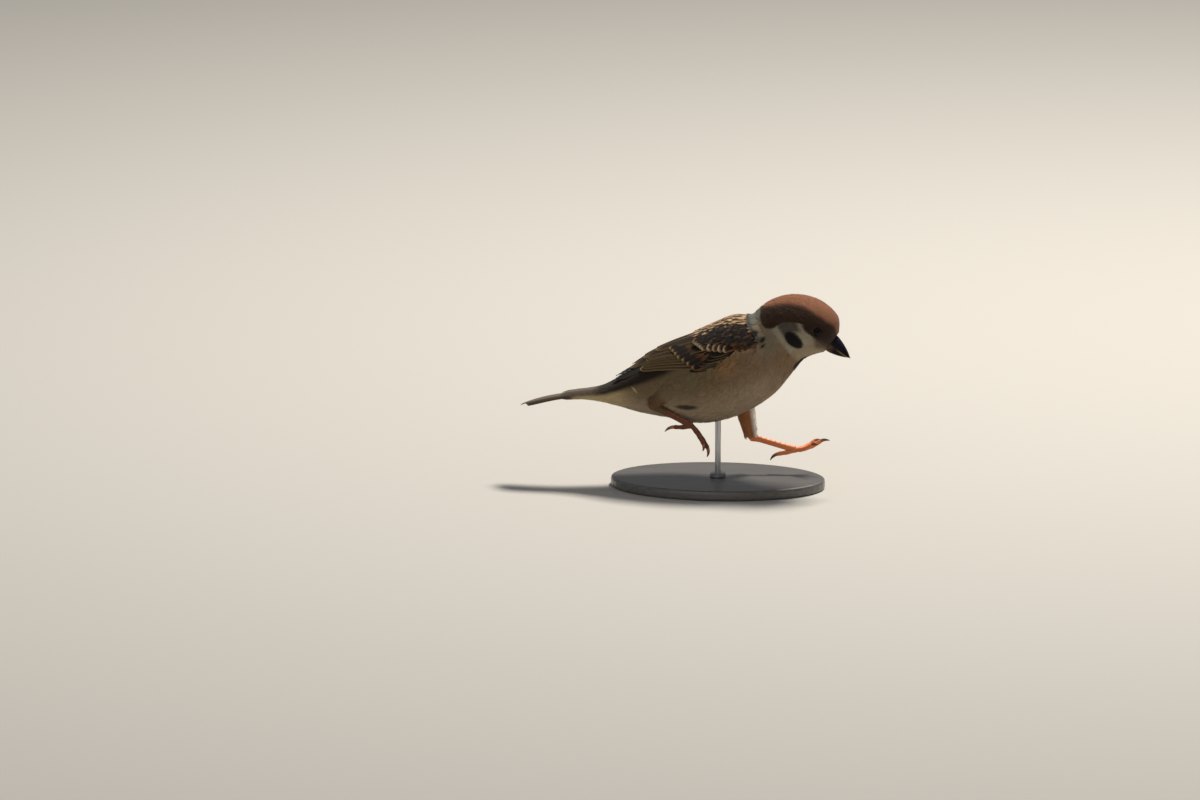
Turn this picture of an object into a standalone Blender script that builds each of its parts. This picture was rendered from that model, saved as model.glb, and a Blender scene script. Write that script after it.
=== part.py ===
"""A life-size tree sparrow caught in mid-hop, carried on a small display stand.

The plumage is one smooth envelope, drawn through a row of ribs from the tail root to the bill.
It is parted into trunk, neck and head, the folded wings are let into its back, and the eyes,
bill, tail, legs, toes and claws are solids of their own. Sizes are in millimetres and are
turned to metres when a mesh is made. +X is the bird's heading, +Y its left, +Z up, and the
origin is the middle of the stand plate's underside.
"""

import math

import bmesh
import bpy
from mathutils import Matrix, Vector

MM = 0.001

# ---- Driving dimensions, in millimetres -------------------------------------------------------
PLATE_LENGTH, PLATE_WIDTH, PLATE_THICKNESS = 86.0, 56.0, 4.0
PLATE_EDGE = 1.0                # width of the bevel round the plate's top and bottom edges
ROD_RADIUS, FERRULE_RADIUS, FERRULE_HEIGHT = 1.2, 3.2, 1.4
ROD_TOP = 31.0                  # above the plate, inside the belly
GAP = 0.35                      # clearance between two solids that meet
BIRD_X = -12.5                  # the ribs' own zero, measured from the rod

ENVELOPE_SIDES, RINGS_PER_RIB = 28, 3
WING_THICKNESS, WING_EDGE, WING_BULGE = 2.2, 1.0, 0.4
TAIL_LENGTH, TAIL_ROOT_WIDTH, TAIL_TIP_WIDTH, TAIL_NOTCH = 28.0, 11.2, 12.0, 2.2
TAIL_LAG = 4.2                  # how much shorter the right half is shut than the left
TAIL_SLOPES = math.radians(3.0), math.radians(23.0)     # at its root and at its tip
BILL_LENGTH, BILL_SLOPE = 9.6, math.radians(40.5)
BILL_UPPER_DEPTH, BILL_LOWER_DEPTH, BILL_HALF_WIDTH = 3.4, 3.75, 3.6
EYE_RADIUS, EYE_CENTRE = 2.2, (53.0, 7.4, 61.9)
TARSUS_LENGTH, TARSUS_RADIUS = 18.3, 1.15
INSTEP = 4.6                    # the lower end of the tarsus, where the toes branch off
THIGH_END_RADIUS, THIGH_SWELL = 2.9, 2.0
TOE_ROOT_RADIUS, TOE_TIP_RADIUS = 0.92, 0.72
CLAW_ROOT_RADIUS, CLAW_TIP_RADIUS = 0.58, 0.27

# The ribs of the envelope: lowest point, highest point, half width, and how much fuller the
# lower half is than the upper one. Heights are above the plate.
RIBS = {
    "tail_root": ((-41.5, 30.6), (-39.5, 34.8), 5.9, 0.05),
    "coverts": ((-34.2, 29.8), (-33.0, 36.6), 7.5, 0.05),
    "rump": ((-26.5, 28.0), (-25.0, 42.2), 9.6, 0.04),
    "vent": ((-17.5, 25.7), (-16.0, 48.9), 12.8, 0.03),
    "belly": ((-7.0, 24.0), (-7.0, 53.9), 15.5, 0.04),
    "middle": ((4.0, 22.2), (2.0, 58.2), 17.0, 0.08),
    "chest": ((15.0, 23.6), (10.5, 62.4), 17.2, 0.08),
    "breast": ((26.0, 28.2), (17.5, 65.4), 16.2, 0.08),
    "collar": ((35.5, 35.0), (22.6, 66.2), 14.0, 0.06),
    "throat": ((42.4, 43.4), (26.2, 66.6), 11.9, 0.05),
    "nape": ((46.4, 48.4), (29.6, 69.9), 10.9, 0.08),
    "ear": ((49.3, 50.4), (34.8, 73.3), 11.0, 0.12),
    "crown": ((51.6, 51.3), (43.0, 75.2), 10.7, 0.12),
    "eye": ((53.2, 51.8), (52.8, 73.2), 9.4, 0.06),
    "lores": ((54.3, 52.0), (60.3, 66.9), 6.7, 0.0),
    "bill_base": ((55.0, 52.2), (60.9, 60.2), 4.0, 0.0),
}
RIB_ORDER = list(RIBS)

# Where the folded wing runs: rib number, then its upper and lower edge in degrees round the
# body from the middle of the back.
WING_EDGES = (
    (0.55, 9.0, 14.0),
    (1.0, 4.0, 40.0),
    (2.0, 3.5, 49.0),
    (3.0, 5.0, 52.0),
    (4.0, 11.0, 59.0),
    (5.0, 18.0, 68.0),
    (6.0, 25.0, 78.0),
    (7.0, 33.0, 86.0),
    (7.8, 44.0, 84.0),
    (8.3, 60.0, 70.0),
)

# Each leg: knee, ankle and the root of the toes, then the direction of the toes in degrees
# above the heading at their roots and at their tips, the same for the hind toe, the angle
# between the toes seen from above, and how far above the ankle the feathers end.
LEGS = {
    "left": {
        "side": 1.0,
        "joints": ((20.3, 9.0, 36.0), (25.0, 9.0, 14.7), (43.2, 9.4, 9.6)),
        "toes": (2.0, 38.0),
        "hind_toe": (203.0, 188.0),
        "spread": 24.0,
        "bare_shin": 1.7,
    },
    "right": {
        "side": -1.0,
        "joints": ((-4.0, -12.0, 39.0), (-12.4, -13.8, 31.6), (3.9, -12.8, 23.0)),
        "toes": (-46.0, -62.0),
        "hind_toe": (196.0, 176.0),
        "spread": 16.0,
        "bare_shin": 3.0,
    },
}
# Toe number: length of the toe and of its claw, and its share of the spread (outwards is +).
TOES = {
    1: (6.8, 4.8, 0.0),
    2: (7.9, 3.6, -1.0),
    3: (10.7, 4.2, 0.0),
    4: (8.3, 3.5, 1.0),
}


# ---- Meshes -----------------------------------------------------------------------------------
def clear_scene():
    for obj in list(bpy.data.objects):
        bpy.data.objects.remove(obj)


def material(name, colour, roughness, metallic=0.0):
    """A Principled BSDF with a plain colour."""
    made = bpy.data.materials.new(name)
    made.use_nodes = True
    shader = made.node_tree.nodes["Principled BSDF"]
    shader.inputs["Base Color"].default_value = (*colour, 1.0)
    shader.inputs["Roughness"].default_value = roughness
    shader.inputs["Metallic"].default_value = metallic
    return made


def add_object(name, mesh, surface):
    """A scene object for a bmesh in millimetres, with its faces turned outwards."""
    bmesh.ops.recalc_face_normals(mesh, faces=mesh.faces)
    bmesh.ops.transform(mesh, matrix=Matrix.Scale(MM, 4), verts=mesh.verts)
    data = bpy.data.meshes.new(name)
    mesh.to_mesh(data)
    mesh.free()
    data.shade_smooth()
    data.set_sharp_from_angle(angle=math.radians(40))
    data.materials.append(surface)
    obj = bpy.data.objects.new(name, data)
    bpy.context.scene.collection.objects.link(obj)
    return obj


def loft(rings):
    """A closed solid through rings of equal length, with flat ends."""
    mesh = bmesh.new()
    loops = [[mesh.verts.new(point) for point in ring] for ring in rings]
    count = len(loops[0])
    for ring, after in zip(loops, loops[1:]):
        for i in range(count):
            j = (i + 1) % count
            mesh.faces.new((ring[i], ring[j], after[j], after[i]))
    mesh.faces.new(loops[0])
    mesh.faces.new(loops[-1])
    return mesh


def plate_between(outer, inner):
    """A closed solid between two grids of points that cover the same patch."""
    mesh = bmesh.new()
    skins = [[[mesh.verts.new(p) for p in row] for row in grid] for grid in (outer, inner)]
    rows, columns = len(outer), len(outer[0])
    for skin in skins:
        for i in range(rows - 1):
            for j in range(columns - 1):
                mesh.faces.new((skin[i][j], skin[i][j + 1], skin[i + 1][j + 1], skin[i + 1][j]))
    rim = [(0, j) for j in range(columns)] + [(i, columns - 1) for i in range(1, rows)]
    rim += [(rows - 1, j) for j in range(columns - 2, -1, -1)] + [(i, 0) for i in range(rows - 2, 0, -1)]
    for (a, b), (c, d) in zip(rim, rim[1:] + rim[:1]):
        mesh.faces.new((skins[0][a][b], skins[0][c][d], skins[1][c][d], skins[1][a][b]))
    return mesh


def tube(points, radii, sides=10, flatten=1.0):
    """A closed tube along points, each ring square to the path and flattened sideways.

    The sideways direction starts level and is carried along the path, so the tube doesn't twist
    where the path turns straight down.
    """
    rings = []
    across = (points[1] - points[0]).cross(Vector((0.0, 0.0, 1.0)))
    if across.length < 0.1 * (points[1] - points[0]).length:
        across = Vector((0.0, -1.0, 0.0))
    for i, point in enumerate(points):
        ahead = (points[min(i + 1, len(points) - 1)] - points[max(i - 1, 0)]).normalized()
        across = (across - ahead * across.dot(ahead)).normalized()
        rise = across.cross(ahead)
        ring = []
        for k in range(sides):
            turn = 2 * math.pi * k / sides
            ring.append(
                point + across * (flatten * radii[i] * math.cos(turn)) + rise * (radii[i] * math.sin(turn))
            )
        rings.append(ring)
    return loft(rings)


def cut(obj, cutter, operation="DIFFERENCE"):
    """A Boolean of obj with a hidden cutter."""
    cutter.hide_render = True
    cutter.display_type = "WIRE"
    modifier = obj.modifiers.new(cutter.name, "BOOLEAN")
    modifier.operation = operation
    modifier.solver = "EXACT"
    modifier.object = cutter


# ---- The envelope -----------------------------------------------------------------------------
def curve_value(values, at):
    """A Catmull-Rom curve through evenly numbered values."""
    last = len(values) - 1
    at = min(max(at, 0.0), float(last))
    i = min(int(at), last - 1)
    f = at - i
    before, start = values[max(i - 1, 0)], values[i]
    end, after = values[i + 1], values[min(i + 2, last)]
    return 0.5 * (
        2 * start
        + (end - before) * f
        + (2 * before - 5 * start + 4 * end - after) * f * f
        + (3 * start - before - 3 * end + after) * f ** 3
    )


def rib_at(number):
    """(lowest point, highest point, half width, fullness) of the envelope at a rib number."""
    ribs = list(RIBS.values())
    columns = [[rib[0][0] for rib in ribs], [rib[0][1] for rib in ribs], [rib[1][0] for rib in ribs]]
    columns += [[rib[1][1] for rib in ribs], [rib[2] for rib in ribs], [rib[3] for rib in ribs]]
    low_x, low_z, high_x, high_z, half, fullness = (curve_value(c, number) for c in columns)
    return Vector((low_x, 0.0, low_z)), Vector((high_x, 0.0, high_z)), half, fullness


def to_frame(point):
    """A point of the bird, measured above the plate, in the part's frame."""
    return Vector(point) + Vector((BIRD_X, 0.0, PLATE_THICKNESS))


def envelope_point(number, turn, grow=0.0):
    """A point of the plumage: turn is the angle round the rib from the back, + to the left."""
    low, high, half, fullness = rib_at(number)
    centre, rise = (low + high) / 2, (high - low) / 2
    rise = rise * (1 + grow / rise.length)
    swell = 1 - fullness * math.cos(turn)
    across = Vector((0.0, (half + grow) * math.sin(turn) * swell, 0.0))
    return to_frame(centre + rise * math.cos(turn) + across)


def rib_ring(number, grow=0.0, shift=0.0):
    """The outline of one rib, moved forward by shift square to its plane."""
    low, high, _, _ = rib_at(number)
    rise = (high - low).normalized()
    ahead = Vector((rise.z, 0.0, -rise.x))
    turns = [2 * math.pi * (k + 0.5) / ENVELOPE_SIDES for k in range(ENVELOPE_SIDES)]
    return [envelope_point(number, turn, grow) + ahead * shift for turn in turns]


def envelope_length(first, last, grow=0.0, close_gap=True):
    """A length of the envelope between two rib numbers, held back half a gap at both ends."""
    steps = (last - first) * RINGS_PER_RIB
    numbers = [first + (last - first) * k / steps for k in range(steps + 1)]
    back = GAP / 2 if close_gap else 0.0
    shifts = [back] + [0.0] * (steps - 1) + [-back]
    return loft([rib_ring(n, grow, s) for n, s in zip(numbers, shifts)])


# ---- Body, neck and head ----------------------------------------------------------------------
TRUNK_END, NECK_END = RIB_ORDER.index("collar"), RIB_ORDER.index("nape")


def make_body(plumage):
    """Trunk and neck, with a bed for each wing and a socket for the rod."""
    trunk = add_object("trunk", envelope_length(0, TRUNK_END), plumage)
    neck = add_object("neck", envelope_length(TRUNK_END, NECK_END), plumage)
    socket = [Vector((0.0, 0.0, PLATE_THICKNESS + z)) for z in (10.0, ROD_TOP + GAP)]
    cut(trunk, add_object("rod_socket", tube(socket, [ROD_RADIUS + GAP] * 2, 16), plumage))
    for side in (1.0, -1.0):
        bed = add_object(f"wing_bed{side:+.0f}", wing_mesh(side, GAP), plumage)
        cut(trunk, bed)
        cut(neck, bed)


def make_head(plumage):
    """The head to the feathers round the bill, with a socket for each eye."""
    head = add_object("head", envelope_length(NECK_END, len(RIBS) - 1), plumage)
    for side in (1.0, -1.0):
        cut(head, ball(f"socket{side:+.0f}", side, EYE_RADIUS + GAP, plumage))


def ball(name, side, radius, surface):
    """A sphere at the eye of one side, with its poles on the line through both eyes."""
    mesh = bmesh.new()
    bmesh.ops.create_uvsphere(mesh, u_segments=16, v_segments=8, radius=radius)
    bmesh.ops.rotate(mesh, matrix=Matrix.Rotation(math.pi / 2, 3, "X"), verts=mesh.verts)
    x, y, z = EYE_CENTRE
    bmesh.ops.translate(mesh, vec=to_frame((x, side * y, z)), verts=mesh.verts)
    return add_object(name, mesh, surface)


def make_bill(horn):
    """The two mandibles, which meet along the line of the bill."""
    low, high, _, _ = rib_at(len(RIBS) - 1)
    ahead = Vector((math.cos(BILL_SLOPE), 0.0, -math.sin(BILL_SLOPE)))
    rise = Vector((math.sin(BILL_SLOPE), 0.0, math.cos(BILL_SLOPE)))
    root = (low + high) / 2 - rise * 0.2
    lean = (high - low).normalized()
    steps, arc = 10, 8
    for name, sign, depth, share in (
        ("bill_upper", 1.0, BILL_UPPER_DEPTH, 1.0),
        ("bill_lower", -1.0, BILL_LOWER_DEPTH, 0.93),
    ):
        rings = []
        for i in range(steps + 1):
            f = i / steps
            narrow = max((1 - f ** 1.25) ** 0.72, 0.07)
            deep = depth * max((1 - f ** 1.45) ** 0.85, 0.09)
            half = BILL_HALF_WIDTH * share * narrow
            centre = root + ahead * (GAP + f * BILL_LENGTH * share)
            ring = []
            for k in range(arc + 1):
                turn = math.pi * k / arc
                up = sign * (0.15 + deep * math.sin(turn) ** 0.85)
                # The root of the bill follows the slope of the feathers round it.
                slope = lean - rise * lean.dot(rise)
                fade = (1 - f) ** 2
                ring.append(centre + rise * up + slope * (up * fade) + Vector((0, half * math.cos(turn), 0)))
            rings.append([to_frame(p) for p in ring])
        add_object(name, loft(rings), horn)


# ---- Wings and tail ---------------------------------------------------------------------------
def wing_edge(number):
    """The upper and lower edge of the folded wing, in radians, at a rib number."""
    for (n0, up0, low0), (n1, up1, low1) in zip(WING_EDGES, WING_EDGES[1:]):
        if n0 <= number <= n1:
            f = (number - n0) / (n1 - n0)
            return math.radians(up0 + (up1 - up0) * f), math.radians(low0 + (low1 - low0) * f)
    raise ValueError(f"no wing at rib {number}")


def wing_mesh(side, clearance=0.0):
    """One folded wing as a curved plate in the plumage; with a clearance it is the bed for it."""
    first, last = WING_EDGES[0][0], WING_EDGES[-1][0]
    rows, columns = 22, 6
    margin = clearance / 12.0
    outer, inner = [], []
    for i in range(rows + 1):
        number = first + (last - first) * i / rows
        upper, lower = wing_edge(number)
        upper, lower = upper - margin, lower + margin
        if clearance:
            stretch = 0.06 * (2 * i / rows - 1)
            number += stretch
        slim = min(1.0, 0.42 + 0.22 * (number - first))
        outer_row, inner_row = [], []
        for j in range(columns + 1):
            f = j / columns
            turn = side * (upper + (lower - upper) * f)
            crown = math.sin(math.pi * f)
            depth = slim * (WING_EDGE + (WING_THICKNESS - WING_EDGE) * crown)
            lift = WING_BULGE * slim * crown + (1.5 if clearance else 0.0)
            outer_row.append(envelope_point(number, turn, lift))
            inner_row.append(envelope_point(number, turn, -depth - clearance))
        outer.append(outer_row)
        inner.append(inner_row)
    return plate_between(outer, inner)


def tail_spine(reach):
    """The middle of the tail so far back from its root, and the direction across its faces."""
    first, last = TAIL_SLOPES
    bend = (last - first) / TAIL_LENGTH
    slope = first + bend * reach
    middle = Vector((math.sin(first) - math.sin(slope), 0.0, math.cos(slope) - math.cos(first))) / bend
    return middle, Vector((-math.sin(slope), 0.0, math.cos(slope)))


def make_tail(plumage):
    """The closed tail: a thin fan, a little forked and drooping, that thickens into the coverts."""
    low, high, _, _ = rib_at(0)
    root = (low + high) / 2
    lean = (high - low).normalized()
    rows, columns = 10, 8
    top, under = [], []
    for i in range(rows + 1):
        f = i / rows
        half = (TAIL_ROOT_WIDTH + (TAIL_TIP_WIDTH - TAIL_ROOT_WIDTH) * f) / 2
        thick = 0.85 + 3.3 * (1 - f) ** 3
        top_row, under_row = [], []
        for j in range(columns + 1):
            across = 2 * j / columns - 1
            length = TAIL_LENGTH - TAIL_NOTCH * (1 - abs(across) ** 1.4) - TAIL_LAG * max(-across, 0.0)
            spine, rise = tail_spine(GAP + f * length)
            middle = root + spine + Vector((0, half * across, 0))
            middle += rise * (0.5 * (1 - across ** 2) * f)
            camber = max(1 - across ** 2, 0.0) ** 0.5
            half_thick = 0.35 + (thick / 2 - 0.35) * camber
            slope = (lean - rise) * (1 - f) ** 3
            top_row.append(to_frame(middle + (rise + slope) * half_thick))
            under_row.append(to_frame(middle - (rise + slope) * half_thick))
        top.append(top_row)
        under.append(under_row)
    add_object("tail", plate_between(top, under), plumage)


# ---- Legs -------------------------------------------------------------------------------------
def heading(degrees, yaw):
    """A unit direction so many degrees above the heading, turned sideways by yaw degrees."""
    pitch, turn = math.radians(degrees), math.radians(yaw)
    flat = Vector((math.cos(pitch), 0.0, math.sin(pitch)))
    return Matrix.Rotation(turn, 3, "Z") @ flat


def curled(start, first, last, yaw, length, steps):
    """Points along an arc that leaves in one direction and ends in another."""
    points = [Vector(start)]
    for k in range(steps):
        degrees = first + (last - first) * (k + 0.5) / steps
        points.append(points[-1] + heading(degrees, yaw) * (length / steps))
    return points


def make_leg(side_name, plumage, skin, horn):
    leg = LEGS[side_name]
    knee, ankle, foot = (to_frame(p) for p in leg["joints"])
    shin, shank = (ankle - knee).normalized(), (foot - ankle).normalized()
    make_thigh(side_name, knee, ankle - shin * leg["bare_shin"], plumage)
    steps = 6
    length = TARSUS_LENGTH - INSTEP
    path = [ankle + shank * (length * k / steps) for k in range(steps + 1)]
    radii = [TARSUS_RADIUS * swell for swell in (1.3, 1.05, 0.97, 0.92, 0.9, 0.9, 0.92)]
    add_object(f"tarsus_{side_name}", tube(path, radii, 12, 0.82), skin)
    room = [path[0] - shank * GAP, *path[1:], foot]
    cutter = add_object(f"leg_room_{side_name}", tube(room, [r + GAP for r in radii] + [2.0], 12, 0.9), skin)
    cut(bpy.data.objects["trunk"], cutter)
    make_foot(side_name, leg, path[-1] + shank * GAP, shank, skin, horn)


def make_thigh(side_name, knee, end, plumage):
    """The feathered shin, as far as it stands out of the plumage of the body."""
    steps = 8
    path = [knee + (end - knee) * k / steps for k in range(steps + 1)]
    radii = [THIGH_END_RADIUS + THIGH_SWELL * (1 - (k / steps) ** 1.1) for k in range(steps + 1)]
    thigh = add_object(f"thigh_{side_name}", tube(path, radii, 16), plumage)
    body = add_object(f"body_room_{side_name}", envelope_length(0, TRUNK_END, GAP, False), plumage)
    cut(thigh, body)


def make_foot(side_name, leg, root, shank, skin, horn):
    """The toes, joined at their roots, and a claw beyond the end of each."""
    instep = [root, root + shank * (INSTEP - 0.8), root + shank * (INSTEP + 0.2)]
    hub = add_object(f"foot_{side_name}", tube(instep, [1.05, 1.25, 0.8], 12), skin)
    pad = root + shank * (INSTEP - 0.6)
    for number, (length, claw_length, share) in TOES.items():
        first, last = leg["hind_toe"] if number == 1 else leg["toes"]
        yaw = leg["side"] * leg["spread"] * share
        path = curled(pad, first, last, yaw, length, 5)
        bend = -1.0 if number == 1 else 1.0
        radii = [TOE_ROOT_RADIUS + (TOE_TIP_RADIUS - TOE_ROOT_RADIUS) * k / 5 for k in range(6)]
        toe = add_object(f"toe_{side_name}_{number}", tube(path, radii, 8), skin)
        cut(hub, toe, "UNION")
        tip = path[-1] + heading(last, yaw) * GAP
        claw = curled(tip, last, last - bend * 62.0, yaw, claw_length, 5)
        thin = [CLAW_ROOT_RADIUS + (CLAW_TIP_RADIUS - CLAW_ROOT_RADIUS) * k / 5 for k in range(6)]
        add_object(f"claw_{side_name}_{number}", tube(claw, thin, 7), horn)


# ---- Stand ------------------------------------------------------------------------------------
def make_stand(paint, steel):
    """An oval plate on the floor and one turned steel rod up into the belly."""
    mesh = bmesh.new()
    bmesh.ops.create_circle(mesh, cap_ends=True, segments=48, radius=PLATE_LENGTH / 2)
    bmesh.ops.scale(mesh, vec=(1.0, PLATE_WIDTH / PLATE_LENGTH, 1.0), verts=mesh.verts)
    raised = bmesh.ops.extrude_face_region(mesh, geom=mesh.faces[:])
    top = [v for v in raised["geom"] if isinstance(v, bmesh.types.BMVert)]
    bmesh.ops.translate(mesh, vec=(0, 0, PLATE_THICKNESS), verts=top)
    rims = [e for e in mesh.edges if abs(e.verts[0].co.z - e.verts[1].co.z) < 0.1]
    bmesh.ops.bevel(mesh, geom=rims, offset=PLATE_EDGE, segments=2, profile=0.5, affect="EDGES")
    add_object("stand_base", mesh, paint)
    foot = PLATE_THICKNESS + GAP
    heights = [foot, foot + FERRULE_HEIGHT - 0.4, foot + FERRULE_HEIGHT, foot + FERRULE_HEIGHT + 0.01]
    heights.append(PLATE_THICKNESS + ROD_TOP)
    radii = [FERRULE_RADIUS, FERRULE_RADIUS, FERRULE_RADIUS - 0.4, ROD_RADIUS, ROD_RADIUS]
    rings = []
    for height, radius in zip(heights, radii):
        turns = [2 * math.pi * k / 24 for k in range(24)]
        rings.append([Vector((radius * math.cos(t), radius * math.sin(t), height)) for t in turns])
    add_object("stand_rod", loft(rings), steel)


def main():
    clear_scene()
    back = material("brown_plumage", (0.20, 0.13, 0.08), 0.85)
    crown = material("chestnut_plumage", (0.19, 0.07, 0.035), 0.8)
    breast = material("buff_plumage", (0.42, 0.36, 0.28), 0.9)
    horn = material("black_horn", (0.03, 0.03, 0.035), 0.35)
    skin = material("orange_skin", (0.62, 0.27, 0.13), 0.5)
    eye = material("dark_eye", (0.012, 0.009, 0.008), 0.08)
    paint = material("grey_lacquer", (0.36, 0.35, 0.33), 0.5)
    steel = material("brushed_steel", (0.6, 0.6, 0.6), 0.3, 1.0)

    make_body(breast)
    make_head(crown)
    make_bill(horn)
    for side_name, side in (("left", 1.0), ("right", -1.0)):
        ball(f"eye_{side_name}", side, EYE_RADIUS, eye)
        add_object(f"wing_{side_name}", wing_mesh(side), back)
        make_leg(side_name, breast, skin, horn)
    make_tail(back)
    make_stand(paint, steel)


main()
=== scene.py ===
# %% [markdown]
# # A tree sparrow in mid-hop
#
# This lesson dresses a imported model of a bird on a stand, as a museum would show it. The packed
# model holds the bird's true outline as plain closed solids. Here the flesh gets one skin, and
# over it a full coat in which each feather is a real mesh; bill, eyes, claws and leg plates are
# pieces of their own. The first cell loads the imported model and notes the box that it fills.

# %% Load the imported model
import math

import bpy
import numpy as np
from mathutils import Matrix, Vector


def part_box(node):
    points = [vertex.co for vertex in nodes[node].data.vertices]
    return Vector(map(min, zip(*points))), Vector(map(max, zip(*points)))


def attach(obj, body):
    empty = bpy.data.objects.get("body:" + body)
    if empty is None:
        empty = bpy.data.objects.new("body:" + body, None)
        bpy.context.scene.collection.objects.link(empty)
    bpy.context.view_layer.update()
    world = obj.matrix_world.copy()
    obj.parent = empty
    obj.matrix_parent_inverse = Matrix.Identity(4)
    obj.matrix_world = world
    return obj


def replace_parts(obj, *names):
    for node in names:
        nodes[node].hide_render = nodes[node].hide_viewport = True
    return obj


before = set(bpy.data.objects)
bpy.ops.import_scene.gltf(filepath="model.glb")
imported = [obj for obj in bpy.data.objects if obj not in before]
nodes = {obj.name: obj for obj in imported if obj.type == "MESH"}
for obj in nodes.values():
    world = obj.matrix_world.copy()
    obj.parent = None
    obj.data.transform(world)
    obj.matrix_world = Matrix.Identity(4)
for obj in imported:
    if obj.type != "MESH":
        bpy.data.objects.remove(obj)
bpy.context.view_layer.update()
MM = 0.001
SEED = 61
rng = np.random.default_rng(SEED)

# %% [markdown]
# ## Camera
#
# The bird is seen from its right side, a little from the front and a little from above, through
# a long lens. A long lens keeps the proportions true, so the camera stands far off.

# %% Camera
CAMERA_AZIMUTH, CAMERA_ELEVATION = math.radians(7.0), math.radians(12.0)
CAMERA_DISTANCE, FRAME_WIDTH, SENSOR = 4.0, 0.480, 36.0     # metres, metres, millimetres
CAMERA_REACH = 50.0
CAMERA_TARGET = Vector((-47.5, 0.0, 34.1)) * MM


def add_camera():
    back = Vector((
        math.sin(CAMERA_AZIMUTH) * math.cos(CAMERA_ELEVATION),
        -math.cos(CAMERA_AZIMUTH) * math.cos(CAMERA_ELEVATION),
        math.sin(CAMERA_ELEVATION),
    ))
    bpy.ops.object.camera_add(location=CAMERA_TARGET + back * CAMERA_DISTANCE)
    camera = bpy.context.object
    camera.rotation_euler = back.to_track_quat("Z", "Y").to_euler()
    camera.data.sensor_width = SENSOR
    camera.data.lens = SENSOR * CAMERA_DISTANCE / FRAME_WIDTH
    camera.data.clip_end = CAMERA_REACH
    bpy.context.scene.camera = camera
    return camera


camera = add_camera()
print("lens, mm:", round(camera.data.lens))

# %% [markdown]
# ## The body's own coordinates
#
# Every feather has to know where it sits on the bird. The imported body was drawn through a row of
# ribs, so a place on it is a rib number, from the tail root to the bill, and an angle round the
# body from the middle of the back. One function turns the two, and a lift off the surface, into
# a point. Feathers, skin and colours all use it, so they can't disagree.

# %% Ribs of the body
# In millimetres: lowest point (x, z), highest point (x, z) and half width, then the fullness.
RIBS = {
    "tail_root": ((-41.5, 30.6), (-39.5, 34.8), 5.9, 0.05),
    "coverts": ((-34.2, 29.8), (-33.0, 36.6), 7.5, 0.05),
    "rump": ((-26.5, 28.0), (-25.0, 42.2), 9.6, 0.04),
    "vent": ((-17.5, 25.7), (-16.0, 48.9), 12.8, 0.03),
    "belly": ((-7.0, 24.0), (-7.0, 53.9), 15.5, 0.04),
    "middle": ((4.0, 22.2), (2.0, 58.2), 17.0, 0.08),
    "chest": ((15.0, 23.6), (10.5, 62.4), 17.2, 0.08),
    "breast": ((26.0, 28.2), (17.5, 65.4), 16.2, 0.08),
    "collar": ((35.5, 35.0), (22.6, 66.2), 14.0, 0.06),
    "throat": ((42.4, 43.4), (26.2, 66.6), 11.9, 0.05),
    "nape": ((46.4, 48.4), (29.6, 69.9), 10.9, 0.08),
    "ear": ((49.3, 50.4), (34.8, 73.3), 11.0, 0.12),
    "crown": ((51.6, 51.3), (43.0, 75.2), 10.7, 0.12),
    "eye": ((53.2, 51.8), (52.8, 73.2), 9.4, 0.06),
    "lores": ((54.3, 52.0), (60.3, 66.9), 6.7, 0.0),
    "bill_base": ((55.0, 52.2), (60.9, 60.2), 4.0, 0.0),
}
print("ribs from the tail to the bill:", len(RIBS))

# %% Spine of the tail
TAIL_LENGTH, TAIL_NOTCH, TAIL_LAG = 28.0, 2.2, 4.2
TAIL_SLOPES = math.radians(3.0), math.radians(23.0)     # at its root and at its tip
TAIL_COVERS = ((15.0, 1.3, 5.8), (8.0, 3.1, 5.9))       # reach, thickness and half width


def tail_spine(reach):
    """The middle of the bent tail so far back from its root, and the way across its faces."""
    first, last = TAIL_SLOPES
    bend = (last - first) / TAIL_LENGTH
    slope = first + bend * np.asarray(reach, float)
    level = 0.0 * slope
    middle = np.stack([np.sin(first) - np.sin(slope), level, np.cos(slope) - np.cos(first)], -1) / bend
    return middle, np.stack([-np.sin(slope), level, np.cos(slope)], -1)


def rib_table():
    """All ribs as rows of numbers, with two more that carry the tail coverts over the tail."""
    rows = [[*low, *high, half, full] for low, high, half, full in RIBS.values()]
    root = (np.array(rows[0][:2]) + np.array(rows[0][2:4])) / 2
    covers = []
    for reach, thick, half in TAIL_COVERS:
        middle, rise = tail_spine(reach)
        low, high = (root + (middle + rise * thick * share)[[0, 2]] for share in (-0.5, 0.5))
        covers.append([*low, *high, half, 0.0])
    return np.array(covers + rows)


RIB_TABLE = rib_table()
FIRST_RIB = -len(TAIL_COVERS)   # those two come before rib 0, the tail root
LAST_RIB = len(RIBS) - 1
print("first and last rib number:", FIRST_RIB, LAST_RIB)

# %% From ribs to points on the plumage
BIRD_X = -12.5                  # from the rod to the ribs' own zero
rod_low, rod_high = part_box("stand_rod")
BIRD_ORIGIN = np.array([(rod_low.x + rod_high.x) / 2 / MM + BIRD_X, 0.0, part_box("stand_base")[1].z / MM])


def rib_values(number):
    """The six rib values on a Catmull-Rom curve through the ribs, for an array of numbers."""
    last = len(RIB_TABLE) - 1
    at = np.clip(np.asarray(number, float) - FIRST_RIB, 0.0, last)
    i = np.minimum(at.astype(int), last - 1)
    f = (at - i)[..., None]
    before, start = RIB_TABLE[np.maximum(i - 1, 0)], RIB_TABLE[i]
    end, after = RIB_TABLE[i + 1], RIB_TABLE[np.minimum(i + 2, last)]
    return 0.5 * (
        2 * start
        + (end - before) * f
        + (2 * before - 5 * start + 4 * end - after) * f**2
        + (3 * start - before - 3 * end + after) * f**3
    )


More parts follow.
